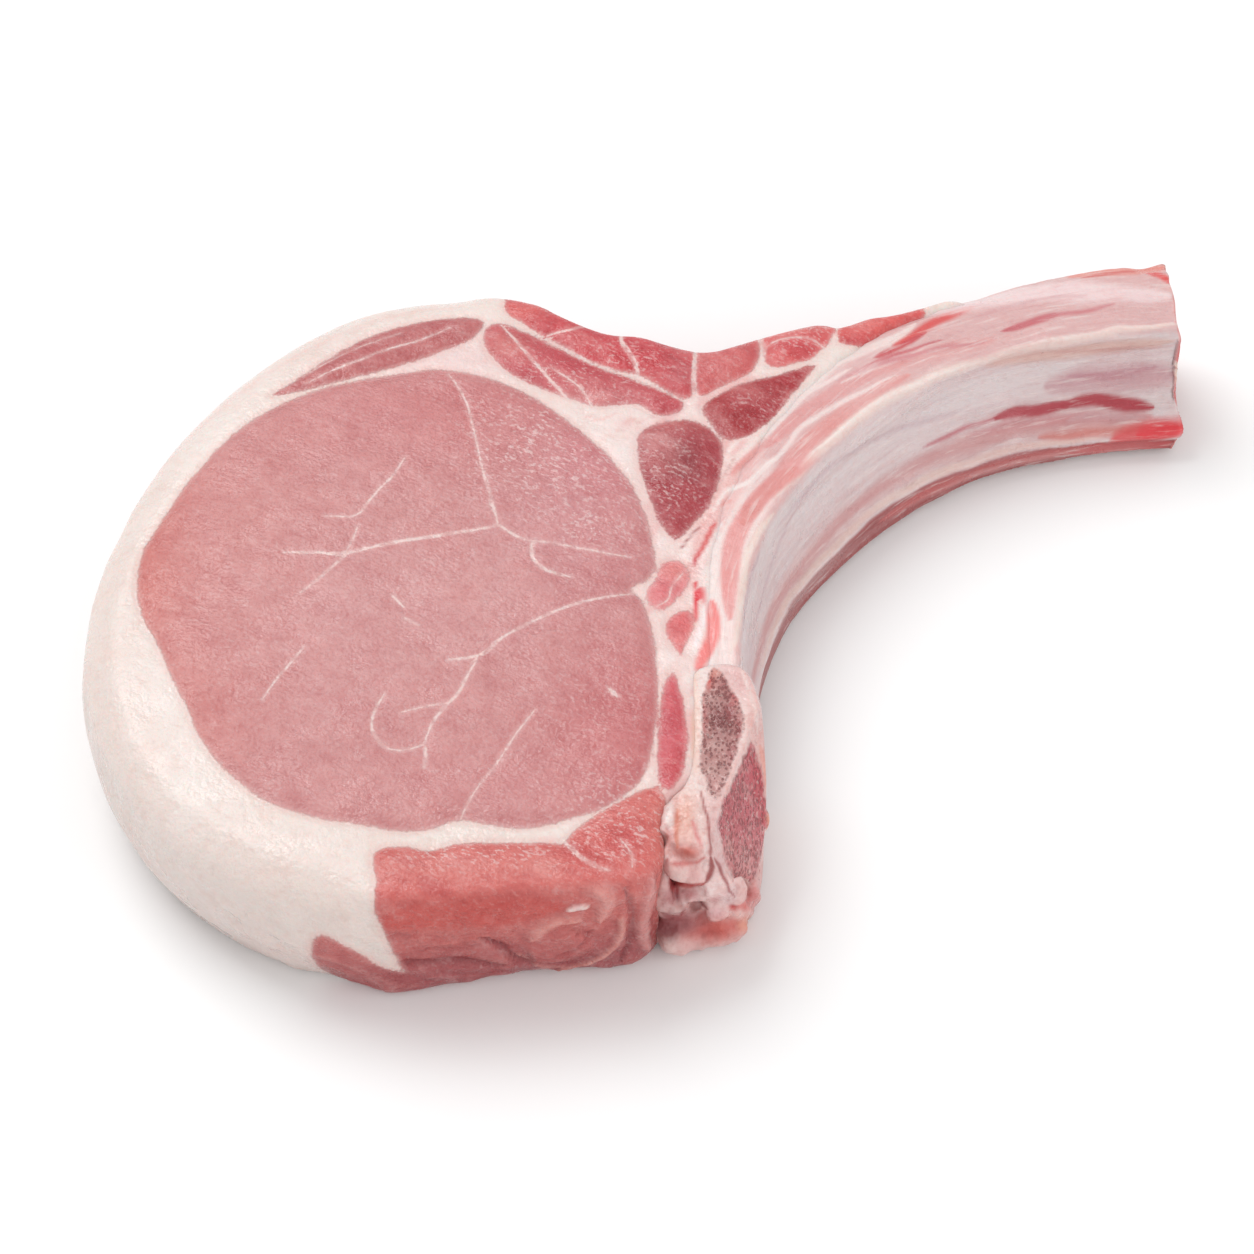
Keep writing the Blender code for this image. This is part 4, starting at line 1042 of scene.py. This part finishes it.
flank = step(normals[:, 0], 0.35, 0.8) * step(place[:, 1], -38, -26)
tissue = lay(tissue, 0.85 * flank, tone(229, 214, 214))
# Painted shade: the dark band under the rib runs on low along the flank, red flesh painted darker where it lies in
# shade.
tissue = lay(tissue, flank * step(-points[:, 2], -4.4, -3.4), tone(164, 82, 82))
tissue = lay(tissue, 0.45 * ragged * step(torn, 0.1, 0.8), tone(246, 222, 216))
tissue = lay(tissue, 0.55 * ragged * step(-torn, 0.1, 0.8), tone(186, 88, 86))
marrow = painted(leaning, tone(188, 138, 134), [
    ((10.2, -10.6), (1.8, 2.2), tone(140, 76, 78), 0.8), ((11.7, -8.9), (1, 2), tone(150, 70, 74), 0.8),
    ((10.6, -4.6), (1, 1.4), tone(170, 92, 92), 0.7), ((8.6, -4.6), (0.8, 1.0), tone(206, 72, 66), 0.9),
    ((9.4, -3.0), (1.2, 0.8), tone(222, 128, 112), 0.8), ((12.5, -7.1), (0.8, 1.1), tone(196, 70, 76), 0.8),
    ((7.6, -9), (0.5, 4), tone(196, 110, 108), 0.7), ((9.2, -15.4), (2, 2.4), tone(196, 148, 144), 0.8),
    ((11.9, -15.4), (1, 2), tone(172, 96, 98), 0.7), ((9.2, -20), (1.8, 1.8), tone(214, 168, 164), 0.95),
    ((13, -12), (0.6, 3), tone(180, 92, 96), 0.7),
])
red_marrow = painted(leaning, tone(198, 100, 108), [
    ((16.2, -17), (1.4, 4), tone(206, 62, 76), 0.9), ((14.5, -19), (2, 4), tone(196, 84, 94), 0.7),
    ((12, -22), (1.6, 3), tone(188, 98, 104), 0.7), ((14, -33), (3.4, 4), tone(216, 146, 146), 0.95),
    ((11, -30), (1.2, 3), tone(206, 132, 132), 0.8), ((17, -24), (0.8, 6), tone(208, 84, 92), 0.7),
])
marrow = np.where((slant_bone > top_bone)[:, None], red_marrow, marrow)
store(backbone, "bone", bone)
store(backbone, "tissue_colour", tissue)
store(backbone, "marrow_colour", marrow)
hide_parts("chine_bone")
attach(backbone, "root")

# %% [markdown]
# ## Node helpers
# Materials are built from nodes, and the same few steps come again and again: add a node with its
# inputs, read a value that the mesh keeps, turn it into a soft mask, mix two colours.

# %% Node helpers
def add(tree, kind, inputs=None, **settings):
    """Adds one shader node. An input is given a plain value or another node's output."""
    made = tree.nodes.new("ShaderNode" + kind)
    for name, value in settings.items():
        setattr(made, name, value)
    for socket, value in (inputs or {}).items():
        if isinstance(value, bpy.types.NodeSocket):
            tree.links.new(value, made.inputs[socket])
        else:
            made.inputs[socket].default_value = value
    return made


def read(tree, name, output="Fac"):
    """Reads one of the values that the mesh keeps for each of its points."""
    return add(tree, "Attribute", attribute_name=name).outputs[output]


def math_of(tree, operation, first, second=0.0, third=0.0):
    return add(tree, "Math", {0: first, 1: second, 2: third}, operation=operation).outputs[0]


def ramp(tree, value, low, high, out_low=0.0, out_high=1.0):
    """Turns a value into a soft mask: out_low below low, out_high above high."""
    inputs = {"Value": value, "From Min": low, "From Max": high, "To Min": out_low, "To Max": out_high}
    return add(tree, "MapRange", inputs, interpolation_type="SMOOTHSTEP").outputs[0]


def mix(tree, mask, first, second, blend_type="MIX"):
    inputs = {0: mask, 6: first, 7: second}
    return add(tree, "Mix", inputs, data_type="RGBA", blend_type=blend_type).outputs[2]


def grainy(tree, vector, scale, detail=2.0, stretch=None, turn=0.0):
    """A noise pattern, scale bumps to the metre, drawn out along an axis turned from x if wanted."""
    if stretch:
        turned = {"Vector": vector, "Rotation": (0, 0, turn), "Scale": stretch}
        vector = add(tree, "Mapping", turned, vector_type="TEXTURE").outputs[0]
    return add(tree, "TexNoise", {"Vector": vector, "Scale": scale, "Detail": detail}).outputs[0]


def new_material(name, **plain):
    """A material with one Principled shader, whose constant values are given by name."""
    material = bpy.data.materials.new(name)
    material.use_nodes = True
    tree = material.node_tree
    shader = tree.nodes["Principled BSDF"]
    for socket, value in plain.items():
        shader.inputs[socket.replace("_", " ")].default_value = value
    return material, tree, shader


# %% [markdown]
# ## Two shared effects
# Raw meat, fat and membrane all carry a thin film of moisture. It pools in the low spots, where
# the surface shines, and it is broken by grain. Bone is a sponge, so wherever it is sawn there are
# tiny pores. Each effect is a node group that every material places with its own sizes.

# %% Effect groups
def new_group(name, inputs, outputs):
    """An empty node group, with the places where its values come in and go out."""
    group = bpy.data.node_groups.new(name, "ShaderNodeTree")
    group.interface.new_socket("Vector", in_out="INPUT", socket_type="NodeSocketVector")
    for socket, value in inputs.items():
        made = group.interface.new_socket(socket, in_out="INPUT", socket_type="NodeSocketFloat")
        made.default_value = value
    for socket in outputs:
        group.interface.new_socket(socket, in_out="OUTPUT", socket_type="NodeSocketFloat")
    return group, group.nodes.new("NodeGroupInput").outputs, group.nodes.new("NodeGroupOutput").inputs


def place_group(tree, group, vector, **values):
    made = tree.nodes.new("ShaderNodeGroup")
    made.node_tree = group
    tree.links.new(vector, made.inputs["Vector"])
    for name, value in values.items():
        made.inputs[name.replace("_", " ")].default_value = value
    return made.outputs


moisture, given, result = new_group(
    "moist surface", {"Grain size": 700.0, "Dry": 0.5, "Wet": 0.2}, ("Roughness", "Height")
)
grain = add(moisture, "TexNoise", {"Vector": given["Vector"], "Scale": given["Grain size"], "Detail": 3.0}).outputs[0]
pool = ramp(moisture, grainy(moisture, given["Vector"], 170.0), 0.38, 0.62)
spread = math_of(moisture, "SUBTRACT", given["Dry"], given["Wet"])
wetness = math_of(moisture, "MULTIPLY_ADD", pool, spread, given["Wet"])
roughness = math_of(moisture, "MULTIPLY_ADD", grain, 0.14, math_of(moisture, "SUBTRACT", wetness, 0.07))
moisture.links.new(roughness, result["Roughness"])
moisture.links.new(math_of(moisture, "MULTIPLY_ADD", pool, 0.5, grain), result["Height"])

spongy, given, result = new_group("bone pores", {"Pores to the metre": 1100.0, "Open": 0.4}, ("Pores",))
cells = add(spongy, "TexVoronoi", {"Vector": given["Vector"], "Scale": given["Pores to the metre"]})
opening = math_of(spongy, "MULTIPLY_ADD", grainy(spongy, given["Vector"], 500.0), 0.5, given["Open"])
hollow = math_of(spongy, "SUBTRACT", opening, cells.outputs["Distance"])
spongy.links.new(ramp(spongy, hollow, 0.2, 0.5), result["Pores"])
print("effects:", [group.name for group in bpy.data.node_groups])

# %% [markdown]
# ## The flesh material
# The mesh says how deep each point lies in lean. A little noise frays that border, and a soft step
# turns it into the mask that chooses between the painted reds and the painted whites. The lean
# gets a fine grain, pale fibre flecks that become painted highlights where it glints wet, and the
# marbling threads. The fat gets faint soft lobes.

# %% Lean and fat: masks
material, tree, shader = new_material("lean and fat", Subsurface_Weight=0.35, Subsurface_Scale=0.0022,
                                      Specular_IOR_Level=0.45)
shader.inputs["Subsurface Radius"].default_value = (1.0, 0.42, 0.32)
where = add(tree, "TexCoord").outputs["Object"]
coarse, fine = grainy(tree, where, 420.0, 3.0), grainy(tree, where, 1700.0, 3.0)
fibre = grainy(tree, where, 1900.0, 3.0, stretch=(1.7, 1.0, 1.2), turn=-0.5)
strand = grainy(tree, where, 560.0, 3.0, stretch=(2.2, 1.0, 1.4), turn=-0.5)
cloud = grainy(tree, where, 110.0, 4.0)
depth = read(tree, "lean")
fray = math_of(tree, "MULTIPLY_ADD", math_of(tree, "SUBTRACT", coarse, 0.5), 0.9, depth)
fray = math_of(tree, "MULTIPLY_ADD", math_of(tree, "SUBTRACT", fine, 0.5), 0.7, fray)
lean_mask = ramp(tree, fray, -0.2, 0.3)
way = add(tree, "SeparateXYZ", {0: read(tree, "to_thread", "Vector")}).outputs
beside = math_of(tree, "SQRT", math_of(tree, "ADD", math_of(tree, "MULTIPLY", way[0], way[0]),
                                       math_of(tree, "MULTIPLY", way[1], way[1])))
beside = math_of(tree, "SUBTRACT", beside, way[2])
beside = math_of(tree, "MULTIPLY_ADD", math_of(tree, "SUBTRACT", coarse, 0.5), 0.6, beside)
beside = math_of(tree, "MULTIPLY_ADD", math_of(tree, "SUBTRACT", fine, 0.5), 0.5, beside)
gap = read(tree, "thread_gap")
close_by = ramp(tree, gap, 0.68, 0.5)
thread = math_of(tree, "MULTIPLY", ramp(tree, beside, 0.2, -0.1), close_by)
thread = math_of(tree, "MULTIPLY", thread, ramp(tree, coarse, 0.40, 0.56, 0.25, 1.0))
halo = ramp(tree, gap, 0.9, 0.1)

# %% Lean and fat: colours
glint = read(tree, "glint", "Fac")
# Pale fibre flecks, faint everywhere in the lean and brightened into painted highlights where it glints.
fibre_fleck_and_glint = math_of(tree, "MULTIPLY_ADD", math_of(tree, "SUBTRACT", coarse, 0.5), 0.35, fibre)
fibre_fleck_and_glint = math_of(tree, "MULTIPLY_ADD", glint, 0.035, fibre_fleck_and_glint)
fibre_fleck_and_glint = math_of(tree, "MULTIPLY", ramp(tree, fibre_fleck_and_glint, 0.56, 0.68), ramp(tree, glint, 0.0, 1.0, 0.10, 0.5))
meat = read(tree, "meat_colour", "Color")
meat = mix(tree, ramp(tree, cloud, 0.36, 0.64, 0.0, 0.22), meat, (0.86, 0.68, 0.68, 1), "MULTIPLY")
streaks = read(tree, "streaks")
dark_strand = math_of(tree, "MULTIPLY", ramp(tree, strand, 0.50, 0.34, 0.0, 0.5), streaks)
meat = mix(tree, dark_strand, meat, (0.84, 0.62, 0.65, 1), "MULTIPLY")
pale_strand = math_of(tree, "MULTIPLY", ramp(tree, strand, 0.54, 0.70, 0.0, 0.14), streaks)
meat = mix(tree, pale_strand, meat, (*tone(238, 196, 193), 1))
meat = mix(tree, ramp(tree, coarse, 0.54, 0.38, 0.0, 0.3), meat, (0.88, 0.7, 0.71, 1), "MULTIPLY")
meat = mix(tree, ramp(tree, fine, 0.50, 0.34, 0.0, 0.4), meat, (0.84, 0.66, 0.68, 1), "MULTIPLY")
meat = mix(tree, fibre_fleck_and_glint, meat, (*tone(242, 218, 215), 1))
meat = mix(tree, ramp(tree, fray, 0.9, 0.1, 0.0, 0.25), meat, (*tone(238, 200, 195), 1))
meat = mix(tree, math_of(tree, "MULTIPLY", halo, 0.2), meat, (*tone(238, 204, 200), 1))
meat = mix(tree, math_of(tree, "MULTIPLY", thread, 0.8), meat, (*tone(242, 217, 212), 1))
fat = read(tree, "fat_colour", "Color")
fat = mix(tree, ramp(tree, cloud, 0.4, 0.7, 0.0, 0.3), fat, (0.95, 0.88, 0.86, 1), "MULTIPLY")
fat = mix(tree, ramp(tree, coarse, 0.5, 0.32, 0.0, 0.4), fat, (0.94, 0.85, 0.83, 1), "MULTIPLY")
fat = mix(tree, ramp(tree, fine, 0.46, 0.3, 0.0, 0.3), fat, (0.94, 0.84, 0.83, 1), "MULTIPLY")
fat = mix(tree, ramp(tree, fray, -1.4, -0.1, 0.0, 0.3), fat, (*tone(230, 172, 166), 1))
colour = mix(tree, lean_mask, fat, meat)
tree.links.new(colour, shader.inputs["Base Color"])

# %% Lean and fat: gloss and relief
surface = place_group(tree, moisture, where, Grain_size=1300.0, Dry=0.46, Wet=0.2)
gloss = math_of(tree, "MULTIPLY_ADD", math_of(tree, "MULTIPLY", glint, lean_mask), -0.10, surface["Roughness"])
tree.links.new(gloss, shader.inputs["Roughness"])
muscle_grain = math_of(tree, "MULTIPLY", math_of(tree, "ADD", fibre, fine), lean_mask)
muscle_grain = math_of(tree, "MULTIPLY_ADD", strand, 0.9, muscle_grain)
relief = math_of(tree, "ADD", muscle_grain, surface["Height"])
relief = math_of(tree, "MULTIPLY_ADD", coarse, 0.9, relief)
bump = add(tree, "Bump", {"Strength": 0.5, "Distance": 0.0004, "Height": relief})
tree.links.new(bump.outputs[0], shader.inputs["Normal"])
flesh.data.materials.append(material)
print(material.name, "has", len(tree.nodes), "nodes")

# %% [markdown]
# ## The rib material
# The pattern follows the bone, not the world: noise stretched a long way along the rib gives the
# streaks of membrane, because it reads how far along and how far around each point sits. The sawn
# end shows spongy marrow.

# %% Membrane and bone
material, tree, shader = new_material("membrane", Subsurface_Weight=0.3, Subsurface_Scale=0.002,
                                      Specular_IOR_Level=0.5, Coat_Weight=0.12, Coat_Roughness=0.25)
shader.inputs["Subsurface Radius"].default_value = (1.0, 0.5, 0.4)
where = add(tree, "TexCoord").outputs["Object"]
stretched = add(tree, "CombineXYZ", {
    0: math_of(tree, "MULTIPLY", read(tree, "along"), 0.10),
    1: math_of(tree, "MULTIPLY", read(tree, "round"), 1.0),
}).outputs[0]
streak = add(tree, "TexNoise", {"Vector": stretched, "Scale": 1.1, "Detail": 5.0, "Roughness": 0.62}).outputs[0]
streak = math_of(tree, "MULTIPLY_ADD", math_of(tree, "SUBTRACT", streak, 0.5), read(tree, "side"), 0.5)
speckle = grainy(tree, where, 900.0, 3.0)
rib_paint = read(tree, "bone_colour", "Color")
rib_paint = mix(tree, ramp(tree, streak, 0.52, 0.68, 0.0, 0.42), rib_paint, (*tone(243, 227, 223), 1))
rib_paint = mix(tree, ramp(tree, streak, 0.48, 0.3, 0.0, 0.4), rib_paint, (0.9, 0.72, 0.73, 1), "MULTIPLY")
rib_paint = mix(tree, ramp(tree, speckle, 0.52, 0.34, 0.0, 0.25), rib_paint, (0.92, 0.78, 0.78, 1), "MULTIPLY")
pores = place_group(tree, spongy, where, Pores_to_the_metre=800.0, Open=0.42)["Pores"]
marrow_mask = ramp(tree, read(tree, "marrow"), -0.3, 0.5)
spongy_paint = mix(tree, pores, (*tone(214, 150, 140), 1), (*tone(150, 62, 62), 1))
rib_paint = mix(tree, marrow_mask, rib_paint, spongy_paint)
surface = place_group(tree, moisture, where, Grain_size=900.0, Dry=0.44, Wet=0.26)
tree.links.new(rib_paint, shader.inputs["Base Color"])
tree.links.new(surface["Roughness"], shader.inputs["Roughness"])
relief = math_of(tree, "MULTIPLY_ADD", streak, 2.2, surface["Height"])
relief = math_of(tree, "SUBTRACT", relief, math_of(tree, "MULTIPLY", pores, math_of(tree, "MULTIPLY", marrow_mask, 1.5)))
bump = add(tree, "Bump", {"Strength": 0.32, "Distance": 0.0005, "Height": relief})
tree.links.new(bump.outputs[0], shader.inputs["Normal"])
rib.data.materials.append(material)
print(material.name, "has", len(tree.nodes), "nodes")

# %% [markdown]
# ## The backbone material
# The mesh says how deep each point lies in a sawn face. There the colour is marrow with fine dark
# pores, and everywhere else it is painted gristle and torn fat.

# %% Sawn bone
material, tree, shader = new_material("sawn bone", Subsurface_Weight=0.25, Subsurface_Scale=0.0015,
                                      Specular_IOR_Level=0.45)
shader.inputs["Subsurface Radius"].default_value = (1.0, 0.45, 0.35)
where = add(tree, "TexCoord").outputs["Object"]
blotch, speckle = grainy(tree, where, 420.0, 3.0), grainy(tree, where, 1500.0, 3.0)
edge = math_of(tree, "MULTIPLY_ADD", math_of(tree, "SUBTRACT", blotch, 0.5), 1.6, read(tree, "bone"))
marrow_mask = ramp(tree, edge, -0.2, 0.5)
drawn_out = {"Vector": where, "Rotation": (0.5, 0, 0), "Scale": (1, 1.8, 1)}
drawn_out = add(tree, "Mapping", drawn_out, vector_type="TEXTURE").outputs[0]
pores = place_group(tree, spongy, drawn_out, Pores_to_the_metre=2100.0, Open=0.46)["Pores"]
marrow = read(tree, "marrow_colour", "Color")
marrow = mix(tree, ramp(tree, blotch, 0.5, 0.64, 0.0, 0.3), marrow, (*tone(212, 172, 166), 1))
marrow = mix(tree, ramp(tree, blotch, 0.48, 0.36, 0.0, 0.5), marrow, (0.72, 0.5, 0.5, 1), "MULTIPLY")
marrow = mix(tree, math_of(tree, "MULTIPLY", pores, 0.6), marrow, (*tone(128, 58, 60), 1))
marrow = mix(tree, ramp(tree, speckle, 0.56, 0.7, 0.0, 0.4), marrow, (*tone(236, 206, 200), 1))
tissue = read(tree, "tissue_colour", "Color")
tissue = mix(tree, ramp(tree, blotch, 0.46, 0.3, 0.0, 0.5), tissue, (0.84, 0.62, 0.6, 1), "MULTIPLY")
tissue = mix(tree, ramp(tree, speckle, 0.5, 0.36, 0.0, 0.4), tissue, (0.86, 0.68, 0.66, 1), "MULTIPLY")
surface = place_group(tree, moisture, where, Grain_size=1000.0, Dry=0.5, Wet=0.25)
tree.links.new(mix(tree, marrow_mask, tissue, marrow), shader.inputs["Base Color"])
tree.links.new(surface["Roughness"], shader.inputs["Roughness"])
pits = math_of(tree, "MULTIPLY", math_of(tree, "MULTIPLY", pores, marrow_mask), -1.6)
relief = math_of(tree, "ADD", pits, math_of(tree, "ADD", surface["Height"], blotch))
bump = add(tree, "Bump", {"Strength": 0.6, "Distance": 0.0005, "Height": relief})
tree.links.new(bump.outputs[0], shader.inputs["Normal"])
backbone.data.materials.append(material)
print(material.name, "has", len(tree.nodes), "nodes")

# %% [markdown]
# ## The studio
# The chop lies on a plain white floor under broad white light, mostly from above and behind on the
# left, so that its shadow is soft and falls forwards and to the right.

# %% Floor and light
bm = bmesh.new()
bmesh.ops.create_grid(bm, x_segments=1, y_segments=1, size=3.0)
floor = new_piece("floor", bm)
material, tree, shader = new_material("white floor", Base_Color=(0.86, 0.86, 0.86, 1), Roughness=0.9,
                                      Specular_IOR_Level=0.1)
floor.data.materials.append(material)
floor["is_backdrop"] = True

world = bpy.data.worlds.new("studio")
bpy.context.scene.world = world
world.use_nodes = True
world.node_tree.nodes["Background"].inputs["Color"].default_value = (1, 1, 1, 1)
world.node_tree.nodes["Background"].inputs["Strength"].default_value = 0.70


def soft_light(name, place, size, power):
    """A square area light in metres and watts, turned towards the chop."""
    lamp = bpy.data.lights.new(name, "AREA")
    lamp.shape = "SQUARE"
    lamp.size = size
    lamp.energy = power
    holder = bpy.data.objects.new(name, lamp)
    bpy.context.scene.collection.objects.link(holder)
    holder.location = place
    holder.rotation_euler = (-Vector(place)).to_track_quat("-Z", "Y").to_euler()


soft_light("key", (-0.45, 0.45, 0.95), 0.7, 7.5)
soft_light("front fill", (0.1, -1.2, 0.7), 1.0, 2.6)
soft_light("right fill", (0.9, -0.5, 0.5), 0.8, 3.2)

# %% [markdown]
# ## The camera
# A long lens from in front, looking down at fifty degrees, keeps the round muscle round.

# %% Camera
ELEVATION = math.radians(50)
DISTANCE = 0.5564
TARGET = Vector((-0.0040, -0.0046, 0.0125))
lens = bpy.data.cameras.new("camera")
lens.lens = 100
lens.sensor_width = 36
camera = bpy.data.objects.new("camera", lens)
bpy.context.scene.collection.objects.link(camera)
camera.location = TARGET + DISTANCE * Vector((0, -math.cos(ELEVATION), math.sin(ELEVATION)))
camera.rotation_euler = (math.pi / 2 - ELEVATION, 0, 0)
bpy.context.scene.camera = camera
bpy.context.scene.view_settings.view_transform = "Standard"
bpy.context.scene.view_settings.look = "None"

# %% Size of the visual box
low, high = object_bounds()
print("visual box in mm:", [round(1000 * (h - l), 1) for l, h in zip(low, high)])
